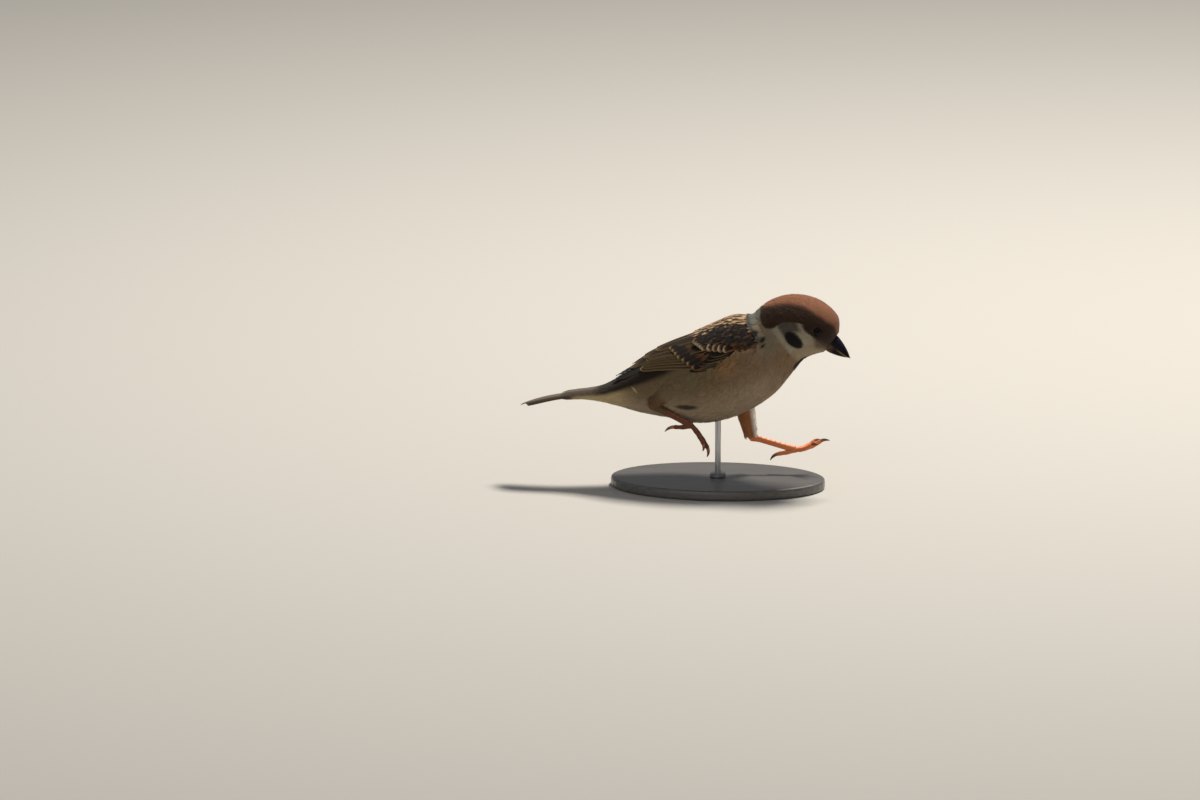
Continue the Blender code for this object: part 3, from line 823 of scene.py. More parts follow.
skin_places = vertex_places(body_skin.data)
number, turn = nearest_place(skin_places)
skin_colour = place_colour(number, turn) * SKIN_DARKER
for side in LEGS:
    skin_colour = blend(skin_colour, LIT_AND_SHADED_LEG_TONES[side], leg_share(skin_places, side))
colour_vertices(body_skin.data, skin_colour)
finish_piece(body_skin, BIRD_SKIN)
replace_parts(body_skin, "head", "neck", "trunk", "wing_left", "wing_right", "thigh_left",
            "thigh_right", "tarsus_left", "tarsus_right", "foot_left", "foot_right")
print("painted skin vertices:", len(skin_places))

# %% [markdown]
# ## Bill, eyes and lids
#
# Horn has a hard edge and its own gloss, so each mandible is its own piece. It's a rolled grid
# again: most of its ring is the horn's outer shell and the rest is its flat inner face, so the
# two mandibles close on a real cutting edge. The eye is a ball primitive with a low bulge for
# the cornea, sunk into the head until only a cap shows. A torus pressed into folds is the bare
# rim of the lids, which hides the seam between eye and feathers.


# %% Size and place of the bill
BILL_LENGTH, BILL_SLOPE = 9.6, math.radians(40.5)
BILL_UPPER_DEPTH, BILL_LOWER_DEPTH, BILL_HALF_WIDTH = 3.4, 3.75, 3.6
LOWER_SHARE = 0.93              # the lower mandible's length and width, as a share of the upper's
BILL_START = 0.35               # from the last rib to the horn
SHELL = 0.7                     # the share of the ring that is the outer shell
BILL_BLACK, BILL_BLUE, BILL_YELLOW = paint("0F0D11"), paint("1B1822"), paint("7A6238")


def bill_axes():
    """The root of the bill, the ways ahead and up, and how the last rib leans."""
    (x, z), (lean_x, lean_z), *_ = rib_frame(LAST_RIB)
    ahead = np.array([math.cos(BILL_SLOPE), 0.0, -math.sin(BILL_SLOPE)])
    rise = np.array([math.sin(BILL_SLOPE), 0.0, math.cos(BILL_SLOPE)])
    root = np.array([x, 0.0, z]) - rise * 0.2 + BIRD_ORIGIN
    return root, ahead, rise, unit(np.array([lean_x, 0.0, lean_z]))


print("bill, mm:", BILL_LENGTH, "long and", BILL_UPPER_DEPTH + BILL_LOWER_DEPTH, "deep")


# %% Mandibles
def make_mandible(name, sign, depth, share):
    root, ahead, rise, lean = bill_axes()
    slope = lean - rise * lean.dot(rise)

    def place(row, column):
        f = row * 1.06 - 0.06
        g = np.clip(f, 0.0, 1.0)
        narrow = np.maximum((1 - g**1.25) ** 0.72, 0.02)
        deep = depth * np.maximum((1 - g**1.45) ** 0.85, 0.03)
        half = BILL_HALF_WIDTH * share * narrow
        inner = column > SHELL
        arc = np.pi * np.clip(column / SHELL, 0, 1)
        flat = np.clip((column - SHELL) / (1 - SHELL), 0, 1)
        up = np.where(inner, 0.05 + 0.25 * np.sin(np.pi * flat), 0.05 + deep * np.sin(arc) ** 0.85)
        side = np.where(inner, -half * (1 - 2 * flat), half * np.cos(arc))
        # the culmen is a low ridge, and the cutting edge is pinched in
        culmen = 0.12 * np.exp(-((arc - np.pi / 2) / 0.22) ** 2) * deep / depth
        up = up + np.where(inner, 0.0, culmen)
        centre = root + ahead * (BILL_START + f[:, None] * BILL_LENGTH * share)
        fade = (1 - g) ** 2
        lift = (sign * up)[:, None]
        points = centre + rise * lift + slope * lift * fade[:, None]
        points[:, 1] += side
        return points

    mandible = rolled_grid(name, 48, 64, place)
    places = vertex_places(mandible.data)
    along = (places - root) @ ahead / BILL_LENGTH
    height = (places - root) @ rise * sign
    if sign > 0:
        colour = blend(BILL_BLUE, BILL_BLACK, ramp(0.3, 0.9, along))
    else:
        edge = ramp(1.0, 0.2, height) * ramp(0.2, 0.6, along)
        colour = blend(BILL_BLUE, BILL_BLACK, ramp(0.1, 0.6, along))
        colour = blend(colour, BILL_YELLOW, np.clip(edge + ramp(0.35, 0.0, along) * 0.5, 0, 1))
    colour_vertices(mandible.data, colour)
    return finish_piece(mandible, BILL_HORN)


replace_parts(make_mandible("upper_mandible", 1.0, BILL_UPPER_DEPTH, 1.0), "bill_upper")
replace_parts(make_mandible("lower_mandible", -1.0, BILL_LOWER_DEPTH, LOWER_SHARE), "bill_lower")
print("length of the lower mandible, mm:", round(BILL_LENGTH * LOWER_SHARE, 1))


# %% Eyeballs
IRIS_BROWN, PUPIL = paint("22140D"), paint("060505")
CORNEA_BULGE = 0.06


def eye_of(side):
    low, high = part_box(f"eye_{side}")
    centre = np.array((low + high) / 2) / MM
    return centre, (high.x - low.x) / 2 / MM


def make_eye(side):
    """A ball with a slightly bulging cornea, dark brown with a black pupil."""
    centre, radius = eye_of(side)
    sign = LEGS[side]["side"]
    ball = add_ball(f"eyeball_{side}", centre, radius, 48)
    places = vertex_places(ball.data)
    out = places - centre
    facing = out[:, 1] * sign / radius
    bulge = 1 + CORNEA_BULGE * ramp(0.55, 0.95, facing)
    places = centre + out * bulge[:, None]
    move_vertices(ball.data, places)
    ring = np.hypot(out[:, 0], out[:, 2]) / radius
    colour = blend(PUPIL, IRIS_BROWN, ramp(0.42, 0.5, ring) * ramp(0.9, 0.7, ring))
    colour_vertices(ball.data, colour)
    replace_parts(finish_piece(ball, EYE_WET), f"eye_{side}")


print("radius of an eyeball, mm:", round(eye_of("left")[1], 2))

# %% Eyelids, made together with the eyeballs that they lie on
LID_GREY = paint("1B1410")
LID_RADIUS, LID_THICKNESS, LID_FOLDS, LID_FLATNESS = 1.85, 0.34, 22, 0.94


def make_lid(side):
    """The bare rim of the eyelids, a soft ring of tiny folds round the eye."""
    centre, radius = eye_of(side)
    sign = LEGS[side]["side"]
    deselect_all()
    bpy.ops.mesh.primitive_torus_add(major_radius=(LID_RADIUS + 0.08) * MM,
                                     minor_radius=LID_THICKNESS * MM,
                                     major_segments=64, minor_segments=14,
                                     rotation=(math.pi / 2, 0.0, 0.0))
    lid = bpy.context.object
    bpy.ops.object.transform_apply(location=True, rotation=True, scale=True)
    lid.name = f"eyelid_{side}"
    places = vertex_places(lid.data)
    angle = np.arctan2(places[:, 2], places[:, 0])
    folds = 1 + 0.025 * np.sin(angle * LID_FOLDS)
    places[:, 0] *= folds
    places[:, 2] *= folds * LID_FLATNESS
    depth = math.sqrt(max(radius**2 - LID_RADIUS**2, 0.0)) + 0.05
    places += centre + np.array((0.0, sign * depth, 0.0))
    move_vertices(lid.data, places)
    colour_vertices(lid.data, np.tile(LID_GREY, (len(places), 1)))
    finish_piece(lid, BIRD_SKIN)


for side in LEGS:
    make_eye(side)
    make_lid(side)
print("radius of the lids' opening, mm:", LID_RADIUS)

# %% [markdown]
# ## Claws and leg plates
#
# A claw is a horn sheath over the last toe bone: deep at its root, hooked and grooved along its
# sides. A songbird's shank and toes carry horny plates along their upper side, and each plate
# overlaps the next. Bump alone would leave the outline smooth, so each plate is a small curved
# sheet of its own, and all of one leg are joined into one piece.

# %% Claws
CLAW_DARK, CLAW_PALE = paint("6A4A36"), paint("C07A50")
CLAW_RADIUS, CLAW_DEPTH = 0.6, 1.2


def make_claws(side):
    """Four curved claws: deep at the root, hooked, and grooved along the sides."""
    parts = []
    for number in TOES:
        _, claw, flat = toe_path(side, number)

        def place(row, column):
            turn = column * 2 * np.pi
            radius = CLAW_RADIUS * (1 - row**1.7) ** 0.75 + 0.02
            groove = 1 - 0.1 * np.exp(-((np.sin(turn) / 0.25) ** 2))
            return along_path(claw, flat, row, turn, radius * groove, CLAW_DEPTH)

        part = rolled_grid("claw", 20, 20, place)
        reach = np.linalg.norm(vertex_places(part.data) - claw[0], axis=1) / TOES[number][1]
        colour_vertices(part.data, blend(CLAW_PALE, CLAW_DARK, ramp(0.05, 0.6, reach)))
        parts.append(part)
    claws = finish_piece(join(parts, f"claws_{side}"), CLAW_HORN)
    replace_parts(claws, *(f"claw_{side}_{number}" for number in TOES))


for side in LEGS:
    make_claws(side)
print("claws on each foot:", len(TOES))


# %% Scutes of the legs
PLATE_ROWS = np.array((0.0, 0.3, 0.7, 0.97, 1.0))       # from a plate's root to its free edge
PLATE_COLUMNS = np.linspace(-1, 1, 9)                   # from side to side
PLATE_POINTS = len(PLATE_ROWS) * len(PLATE_COLUMNS)
PLATE_SHINE = 1.25              # how much paler a plate is than the skin between
TOE_PLATE = 0.85                # length of a toe's plate, in millimetres


def scutes(path, across, first, last, count, radius, depth, reach):
    """Overlapping horny plates over the upper side of a path."""
    start = first + (last - first) * np.arange(count) / count
    size = (last - first) / count
    a, b = np.meshgrid(PLATE_ROWS, PLATE_COLUMNS, indexing="ij")
    f = start[:, None, None] + size * 1.12 * a
    f = f - size * 0.16 * b**2 * a
    turn = np.pi / 2 + reach * b + 0 * f
    lift = 0.03 + 0.11 * a**1.5 - 0.16 * np.abs(b) ** 5 - 0.2 * (a == 1.0)
    f = np.clip(f, 0, 1)
    points = along_path(path, across, f, turn, radius(f) + lift, depth)
    quads = grid_quads(np.arange(f.size).reshape(f.shape))
    return points.reshape(-1, 3), quads.reshape(-1, 4)


# %% Plates of both legs
def make_scutes(side):
    path, across = shank_path(side)
    sets = [scutes(path, across, 0.1, 0.98, 8, shank_radius, SHANK_DEPTH, 1.25)]
    for number in TOES:
        toe, _, flat = toe_path(side, number)
        sets.append(scutes(toe, flat, 0.1, 1.0, round(TOES[number][0] / TOE_PLATE),
                           lambda f: toe_radius(f, TOE_JOINTS[number]), 1.0, 1.1))
    points, quads, start = [], [], 0
    for own, faces in sets:
        middle = own[faces[0]].mean(0)
        normal = np.cross(own[faces[0, 1]] - own[faces[0, 0]], own[faces[0, 3]] - own[faces[0, 0]])
        if normal.dot(middle - own[:PLATE_POINTS].mean(0)) < 0:
            faces = faces[:, ::-1]
        points.append(own)
        quads.append(faces + start)
        start += len(own)
    piece = quad_mesh(f"scutes_{side}", np.concatenate(points), np.concatenate(quads))
    plates = start // PLATE_POINTS
    tone = 1 + 0.06 * rng.standard_normal(plates).repeat(PLATE_POINTS)
    # the plates carry the same painted light on the left leg and painted shade on the right
    colour_vertices(piece.data, LIT_AND_SHADED_LEG_TONES[side] * PLATE_SHINE * tone[:, None])
    finish_piece(piece, LEG_SCALE)
    print(piece.name, "plates:", plates)


for side in LEGS:
    make_scutes(side)

# %% [markdown]
# ## How a feather is made
#
# Two kinds are enough. A soft contour feather is a fan of narrow strips, since its barbs part
# easily. The strips taper and end at different lengths, so its edge frays without any
# transparency. A firm flight feather is one closed blade with two faces and a raised shaft,
# since its barbs hook together. One function lays both: it walks from root to tip in a surface's
# own two coordinates, so a feather bends with the body under it.
#
# Each feather has two UV maps. Barbs is in millimetres and carries the fine lines. OFBake gives
# each feather a small patch of its own: on the body's tracts at its root's place on an unwrap of
# the body, on the legs on an unwrap of the leg, and in the rows of blades and streaks on an even grid.


# %% Laying feathers on a surface
def per_feather(values, like):
    """One value for each feather, shaped to spread over an array that has the feathers first."""
    return np.reshape(values, (-1,) + (1,) * (like.ndim - 1))


def follow(surface, root, tip, a, y, lift, bow=0.0):
    """Points on feathers: a along each one, 0 to 1, y across it in millimetres, lift off the surface.

    root and tip hold two coordinates for each feather. All arrays have the feathers first.
    """
    p0, q0, p1, q1, bow = (per_feather(value, a) for value in (*root.T, *tip.T, bow))
    p = p0 + (p1 - p0) * a
    q = q0 + (q1 - q0) * a + bow * np.sin(np.pi * a)
    wp, wq = (np.maximum(value, 1e-3) for value in worth(surface, p, q))
    along, around = (p1 - p0) * wp, (q1 - q0 + bow * np.pi * np.cos(np.pi * a)) * wq
    size = np.maximum(np.hypot(along, around), 1e-6)
    p = p - y * around / size / wp
    q = q + y * along / size / wq
    return surface(p, q, lift), p, q


def feather_length(surface, root, tip):
    middle = (root + tip) / 2
    wp, wq = worth(surface, middle[:, 0], middle[:, 1])
    return np.hypot((tip - root)[:, 0] * wp, (tip - root)[:, 1] * wq)


# %% Soft feathers
SOFT_ROWS = (0.0, 0.32, 0.6, 0.84, 1.0)     # where a strip's points lie, from root to tip


def fans(surface, root, tip, width, low, high, strips, rows=SOFT_ROWS, fray=0.12, tips=0.5):
    """Soft feathers, each a fan of narrow strips with a frayed, rounded end."""
    count = len(root)
    centre = np.linspace(-1 + 1 / strips, 1 - 1 / strips, strips)
    end = 1 - 0.3 * np.abs(centre) ** 2.2 - fray * rng.random((count, strips))
    a = end[:, :, None] * np.array(rows)
    spread = 0.34 + 0.66 * np.sin(np.minimum(a * 1.55, 1.0) * np.pi / 2)
    half = per_feather(width, a) / 2
    thin = np.interp(rows, (0.0, 0.6, 0.84, 1.0), (1.35, 1.35, 1.2, tips))
    wobble = 0.06 * rng.standard_normal((count, strips, 1)) * a
    middle = half * (centre[None, :, None] + wobble) * spread * (1 - 0.08 * a**3)
    reach = half / strips * spread * thin
    y = np.stack([middle - reach, middle + reach], -1)
    a = np.repeat(a[..., None], 2, -1)
    c = y / half[..., None]
    jitter = 0.02 * rng.standard_normal((count, strips, 1, 1))
    low, high, width = (per_feather(values, a) for values in (low, high, width))
    lift = low + (high - low) * a**0.45 + 0.05 * width * (1 - c**2) + jitter * a
    points, p, q = follow(surface, root, tip, a, y, lift)
    quads = grid_quads(np.arange(a.size).reshape(a.shape))
    return {"points": points, "quads": quads, "a": a, "c": c, "p": p, "q": q, "y": y,
            "length": feather_length(surface, root, tip)}


# %% Firm feathers
BLADE_THICKNESS = 0.09


def blades(surface, root, tip, width, low, high, bow=0.0, shaft=0.0, rows=26, columns=9,
           pointed=0.3, camber=0.05, rise=1.0, tilt=0.0):
    """Firm feathers, each a closed thin blade with a raised shaft and a rounded end.

    A tilt raises one edge of each blade, so that a row of them overlaps like tiles.
    """
    count = len(root)
    along = 1 - (1 - np.linspace(0, 1, rows)) ** 1.25
    outline = np.minimum(1.0, (along / 0.18 + 0.12) ** 0.6)
    end = np.maximum(along - (1 - pointed), 0) / pointed
    outline = np.maximum(outline * np.maximum(1 - end**2.4, 0.0) ** 0.6, 0.03)
    c = np.broadcast_to(np.linspace(-1, 1, columns), (count, rows, columns))
    a = np.broadcast_to(along[None, :, None], c.shape)
    low, high, width, shaft = (per_feather(values, a) for values in (low, high, width, shaft))
    y = c * outline[None, :, None] * width / 2
    ridge = np.exp(-(((c - shaft) / 0.09) ** 2)) * 0.07
    lift = low + (high - low) * a**rise
    lift = lift + camber * width * (1 - c**2) + ridge * (1 - 0.8 * a) + tilt * c
    upper, p, q = follow(surface, root, tip, a, y, lift, bow)
    lower, _, _ = follow(surface, root, tip, a, y, lift - BLADE_THICKNESS, bow)
    points = np.stack([upper, lower], 1)
    top, under = np.moveaxis(np.arange(points[..., 0].size).reshape(count, 2, rows, columns), 1, 0)
    quads = [grid_quads(top).reshape(count, -1, 4),
             grid_quads(under)[..., [0, 3, 2, 1]].reshape(count, -1, 4)]
    rim = np.array([(0, j) for j in range(columns)] + [(i, columns - 1) for i in range(1, rows)]
                   + [(rows - 1, j) for j in range(columns - 2, -1, -1)]
                   + [(i, 0) for i in range(rows - 2, 0, -1)])
    here, after = (slice(None), *rim.T), (slice(None), *np.roll(rim, -1, 0).T)
    quads.append(np.stack([top[after], top[here], under[here], under[after]], -1))

    def twice(values):
        return np.stack([values, values], 1)

    return {"points": points, "quads": np.concatenate(quads, 1), "a": twice(a), "c": twice(c),
            "p": twice(p), "q": twice(q), "y": twice(y),
            "length": feather_length(surface, root, tip)}


# %% Spots on the bake map
PATCH = 0.003                   # how wide a small feather's own patch of the map is
CELL_FILL = 0.8                 # how much of its cell a big feather's patch fills


def unwrap_place(number, turn):
    """A place's spot on the unwrap of the body: angle across, ribs up."""
    u = (turn / (2 * np.pi) + 0.5) % 1.0
    return u, (number - FIRST_RIB) / (LAST_RIB - FIRST_RIB)


def row_groups(surface, rows):
    """Groups for make_coat from rows of (feathers, colours), with an even grid of spots."""
    across = math.ceil(math.sqrt(sum(len(feathers["points"]) for feathers, _ in rows)))
    groups, start = [], 0
    for feathers, colours in rows:
        k = np.arange(start, start + len(feathers["points"]))
        spot = (k % across + 0.5) / across, (k // across + 0.5) / across
        groups.append((surface, feathers, colours, spot, CELL_FILL / across))
        start += len(k)
    return groups


# %% Joining feathers into one piece of the coat
PATCH_FILL = 0.95               # how much of its patch a feather fills
LINE_SHIFT = (17.3, 5.1)        # from one feather's lines to the next one's, so that none repeat


def turned_right(surface, feathers):
    """The quads, with those of feathers that face inwards turned over."""
    points, quads = feathers["points"].reshape(-1, 3), feathers["quads"]
    quads = quads.reshape(len(quads), -1, 4).copy()
    probe = quads[:, 0]
    corner = points[probe[:, 0]]
    normal = np.cross(points[probe[:, 1]] - corner, points[probe[:, 3]] - corner)
    p, q = (feathers[key].reshape(-1)[probe[:, 0]] for key in "pq")
    out = surface(p, q, 1.0) - surface(p, q, 0.0)
    wrong = (normal * out).sum(1) < 0
    quads[wrong] = quads[wrong][:, :, ::-1]
    return quads.reshape(-1, 4)


def make_coat(name, material, groups):
    """One mesh from groups of (surface, feathers, colours, roots' spots, patch width)."""
    points, quads, colours, bake, barbs, start = [], [], [], [], [], 0
    for surface, feathers, colour, spot, patch in groups:
        own = feathers["points"].reshape(-1, 3)
        order = np.arange(len(feathers["points"]))[:, None]
        a, c, y = (feathers[key].reshape(len(order), -1) for key in "acy")
        points.append(own)
        quads.append(turned_right(surface, feathers) + start)
        colours.append(colour.reshape(-1, 3))
        margin = patch / 2
        u = np.clip(spot[0], margin, 1 - margin)[:, None] + c * margin * PATCH_FILL
        v = np.clip(spot[1], margin, 1 - margin)[:, None] + (a - 0.5) * patch * PATCH_FILL
        bake.append(np.stack([u, v], -1).reshape(-1, 2))
        along = feathers["length"][:, None] * a + LINE_SHIFT[0] * order
        barbs.append(np.stack([along, y + LINE_SHIFT[1] * order], -1).reshape(-1, 2))
        start += len(own)
    quads = np.concatenate(quads)
    piece = quad_mesh(name, np.concatenate(points), quads)
    for layer, values in (("OFBake", bake), ("Barbs", barbs)):
        uv = piece.data.uv_layers.new(name=layer)
        uv.data.foreach_set("uv", np.concatenate(values)[quads.ravel()].astype(np.float32).ravel())
    colour_vertices(piece.data, np.concatenate(colours))
    print(name, "feathers:", sum(len(g[1]["points"]) for g in groups), "triangles:", 2 * len(quads))
    return finish_piece(piece, material)


# %% Sizes of the soft feathers
# Gap between tips, length and width in millimetres, and the number of strips.
FEATHER_SIZES = {
    "face": (0.56, 1.9, 1.1, 5),
    "cap": (0.76, 3.1, 1.6, 7),
    "cheeks": (0.76, 2.8, 1.6, 7),
    "collar": (1.0, 4.5, 2.4, 9),
    "breast": (1.15, 6.0, 3.1, 11),
    "belly": (1.2, 6.6, 3.2, 11),
    "rear": (1.15, 7.0, 3.1, 11),
    "rump": (1.15, 6.2, 3.2, 11),
    "scapulars": (2.0, 8.5, 4.6, 9),
    "mantle": (1.8, 7.5, 3.9, 9),
    "shin": (0.85, 3.4, 2.1, 8),
    "heel": (0.6, 2.0, 1.3, 8),
}
print("kinds of soft feathers:", len(FEATHER_SIZES))

# %% Scattering tips
AREA_SAMPLES = 4000             # places that measure how big a tract is
TRIES = 28                      # places tried for each feather that would fit
AROUND = [(i, j, k) for i in (-1, 0, 1) for j in (-1, 0, 1) for k in (-1, 0, 1)]


def scatter(surface, inside, first, last, gap):
    """Feather tips at least a gap apart, all over the part of a surface where inside holds."""
    def random_places(count):
        return [start + (end - start) * rng.random(count) for start, end in zip(first, last)]

    area = np.prod(worth(surface, *random_places(AREA_SAMPLES)), axis=0)
    peak = np.quantile(area, 0.98)
    span = (last[0] - first[0]) * (last[1] - first[1])
    p, q = random_places(int(area.mean() * span / gap**2 * TRIES / 2) * 2)
    keep = (rng.random(len(p)) * peak < np.prod(worth(surface, p, q), axis=0)) & inside(p, q)
    p, q = p[keep], q[keep]
    places = surface(p, q, 0.0)
    cell = np.floor(places / gap).astype(int).tolist()
    taken, kept = {}, []
    for index, (x, y, z) in enumerate(places.tolist()):
        cx, cy, cz = cell[index]
        near = (other for i, j, k in AROUND for other in taken.get((cx + i, cy + j, cz + k), ()))
        if all((x - ox) ** 2 + (y - oy) ** 2 + (z - oz) ** 2 >= gap * gap for ox, oy, oz in near):
            taken.setdefault((cx, cy, cz), []).append((x, y, z))
            kept.append(index)
    return p[kept], q[kept]


# %% A tract of soft feathers
def vary(amount, shape):
    """Random factors that differ from 1 by about the amount."""
    return 1 + amount * rng.standard_normal(shape)


def tract(name, inside, first, last, sway=None, lift=None, rows=SOFT_ROWS, fray=0.12, tips=0.5):
    """Soft feathers over a part of the body: their tips are scattered, their roots lie upstream."""
    gap, length, width, strips = FEATHER_SIZES[name]
    number, turn = scatter(body_point, inside, first, last, gap)
    size = length * vary(0.12, len(number))
    wp, wq = worth(body_point, number, turn)
    lean = (sway(number, turn) if sway else 0.0) + 0.08 * rng.standard_normal(len(number))
    up_p = np.minimum(number + size * np.cos(lean) / wp, LAST_RIB - 0.002)
    up_q = turn - np.sign(turn) * size * np.sin(lean) / wq
    root, tip = np.stack([up_p, up_q], 1), np.stack([number, turn], 1)
    sink = WING_SINK * under_wing(number, turn)
    deep = coat_depth(number, turn) - sink
    high = 0.035 * rng.standard_normal(len(number)) - sink + (lift(number, turn) if lift else 0.0)
    low = high - deep
    wide = width * vary(0.1, len(number))
    return fans(body_point, root, tip, wide, low, high, strips, rows, fray, tips), root


# %% Tones of soft feathers
SOFT_TONE = 0.035


def mottle(a, amount):
    """A change of tone from feather to feather."""
    return per_feather(vary(amount, len(a)), a)[..., None]


def mottle_strips(a, amount):
    """A change of tone from strip to strip of soft feathers."""
    return vary(amount, (*a.shape[:2], 1, 1, 1))


def soft_colour(feathers):
    """Place colours, with grey down at the root and a little change of tone."""
    a = feathers["a"]
    base = blend(place_colour(feathers["p"], feathers["q"]), DOWN, ramp(0.35, 0.0, a) * 0.15)
    change = mottle(a, SOFT_TONE)
    return base * (change * mottle_strips(a, 0.7 * SOFT_TONE))


def soft_piece(name, slot, *tracts):
    """A piece of the coat from one or more tracts of plain soft feathers."""
    groups = [(body_point, feathers, soft_colour(feathers), unwrap_place(*root.T), PATCH)
              for feathers, root in tracts]
    return make_coat(name, SOFT_FEATHER, groups)


# %% [markdown]
# ## Coat of the head
#
# Feathers grow in tracts. The smallest are on the face, about two millimetres long, and sweep
# back from the bill round the eye. Tips are scattered at least a set gap apart, which is even but
# never regular, as on the bird, and each root lies a feather's length upstream of its tip.
# Feathers that would reach over the eye are left out.

# %% Face, cap and throat
FULL = math.pi                  # all the way round, to either side of the back
EYE_SIDE = 4.0                  # how far to the side a feather must lie to be near an eye
HEAD_ROWS = (0.0, 0.4, 0.75, 1.0)


def cap_limit(number):
    """The angle at which the cap ends, in radians."""
    return np.radians(read_off(CAP_EDGE, number))


def face_sway(number, turn):
    """Cheek feathers sweep down and back; those of the cap follow the skull."""
    return 0.35 * ramp(60, 100, degrees_from_back(turn)) * ramp(14.5, 12.5, number)


def free_of_eye(made):
    """A tract without the feathers in the eyes' way: only sunk roots may lie under the lids."""
    feathers, root = made
    points = feathers["points"].reshape(len(root), -1, 3)
    limit = LID_RADIUS - np.where(feathers["a"].reshape(len(root), -1) > 0.2, 0.2, 1.0)
    keep = np.ones(len(root), bool)
    for side in LEGS:
        centre, _ = eye_of(side)
        beside = points[..., 1] * LEGS[side]["side"] > EYE_SIDE
        near = np.linalg.norm(points[..., (0, 2)] - centre[[0, 2]], axis=-1)
        keep &= (~beside | (near > limit)).all(1)
    kept = {key: value[keep] for key, value in feathers.items() if key != "quads"}
    first = feathers["quads"].reshape(len(root), -1, 4)[0]
    kept["quads"] = first + (np.arange(keep.sum()) * points.shape[1])[:, None, None]
    return kept, root[keep]


face = free_of_eye(tract("face", lambda n, t: n > 12.4, (12.4, -FULL), (14.95, FULL), face_sway,
                         rows=(0.0, 0.45, 0.8, 1.0)))
soft_piece("coat_face", "chestnut_plumage", face)
cap = free_of_eye(tract("cap", lambda n, t: np.abs(t) < cap_limit(n) + 0.05,
                        (9.3, -1.6), (12.6, 1.6), rows=HEAD_ROWS))
soft_piece("coat_cap", "chestnut_plumage", cap)
cheeks = free_of_eye(tract("cheeks", lambda n, t: np.abs(t) > cap_limit(n) - 0.02,
                           (9.3, -FULL), (12.6, FULL), face_sway, rows=HEAD_ROWS))
soft_piece("coat_cheeks", "buff_plumage", cheeks)

# %% [markdown]
# ## Coat of the neck, underside and rump
#
# Body feathers are longer and lie almost flat, with their tips towards the tail, so the coat
# starts at the neck and each tract overlaps the one behind. The collar lies over the mantle, and
# the feathers of the breast's side over the front edge of the wing. On the right flank one pale
# feather stands loose, and the right leg's shadow is painted as a dark spot on the belly.

# %% Collar, breast, belly and tail coverts
def flank_sway(_, turn):
    """Feathers of the flank sweep a little down."""
    angle = degrees_from_back(turn)
    return 0.12 * ramp(50, 90, angle) * ramp(160, 120, angle)


def over_wing_edge(number, turn):
    """Breast-side feathers lie over the lower front edge of the folded wing."""
    angle = degrees_from_back(turn)
    band = ramp(62, 74, angle) * ramp(100, 84, angle)
    return 1.25 * ramp(5.4, 6.4, number) * band * ramp(8.4, 7.4, number)


def over_mantle(number, turn):
    """The collar's tips lie over the front of the mantle."""
    return 0.45 * ramp(9.0, 8.3, number) * ramp(76, 50, degrees_from_back(turn))


collar = tract("collar", lambda n, t: n > collar_start(degrees_from_back(t)),
               (7.9, -FULL), (9.35, FULL), flank_sway, over_mantle, fray=0.16)
soft_piece("coat_collar", "buff_plumage", collar)
breast = tract("breast", lambda n, t: degrees_from_back(t) > 66, (5.6, -FULL), (8.3, FULL),
               flank_sway, over_wing_edge, fray=0.18)
soft_piece("coat_breast", "buff_plumage", breast)
belly = tract("belly", lambda n, t: degrees_from_back(t) > 52, (2.4, -FULL), (5.65, FULL),
              flank_sway, fray=0.2)
soft_piece("coat_belly", "buff_plumage", belly)

# %% One loose feather on the right flank
loose = fans(body_point, np.array([(3.0, math.radians(-106.0))]), np.array([(2.5, math.radians(-76.0))]),
             np.array([0.8]), np.array([-0.6]), np.array([0.4]), 4, (0.0, 0.25, 0.5, 0.75, 1.0))
loose_colour = blend(FLANK, UNDERTAIL, ramp(0.2, 0.6, loose["a"]) * 0.7)
make_coat("loose_flank_feather", SOFT_FEATHER,
          row_groups(body_point, [(loose, loose_colour)]))

# %% Tail coverts and rump
rear = tract("rear", lambda n, t: degrees_from_back(t) > 66, (-1.2, -FULL), (2.45, FULL), fray=0.16)
rump = tract("rump", lambda n, t: degrees_from_back(t) < 70, (-1.3, -1.3), (5.2, 1.3),
             lift=lambda n, t: -0.35 * ramp(-0.3, -1.3, n), fray=0.14)
soft_piece("coat_rump", "buff_plumage", rear, rump)

# %% [markdown]
# ## The folded wing
#
# A folded wing is a stack. The long primaries lie lowest and reach furthest back, the
# secondaries fold over them, and three broad tertials close over the top like a lid. Rows of
# coverts then tile the roots of all of these, each row shorter than the one below it. Each of
# these feathers is a closed blade with a shaft, and each row is laid along a line that is given
# for its roots and another for its tips. The same lines serve both wings.

# %% Rows of wing feathers
def line_through(corners, count, side):
    """Places spread along a line through a few (rib, angle) corners, on one side of the bird."""
    at = np.linspace(0, len(corners) - 1, count)
    number, angle = (np.interp(at, np.arange(len(corners)), column) for column in zip(*corners))
    return np.stack([number, side * np.radians(angle)], 1)


def blade_row(side, count, roots, tips, widths, lows, highs, bow=0.0, tilt=0.2, **shape):
    """A row of blades on one wing; widths and lifts run from the row's first feather to its last."""
    spread = [np.linspace(*ends, count) for ends in (widths, lows, highs)]
    return blades(body_point, line_through(roots, count, side), line_through(tips, count, side),
                  *spread, bow=side * math.radians(bow) * np.ones(count), tilt=-side * tilt, **shape)


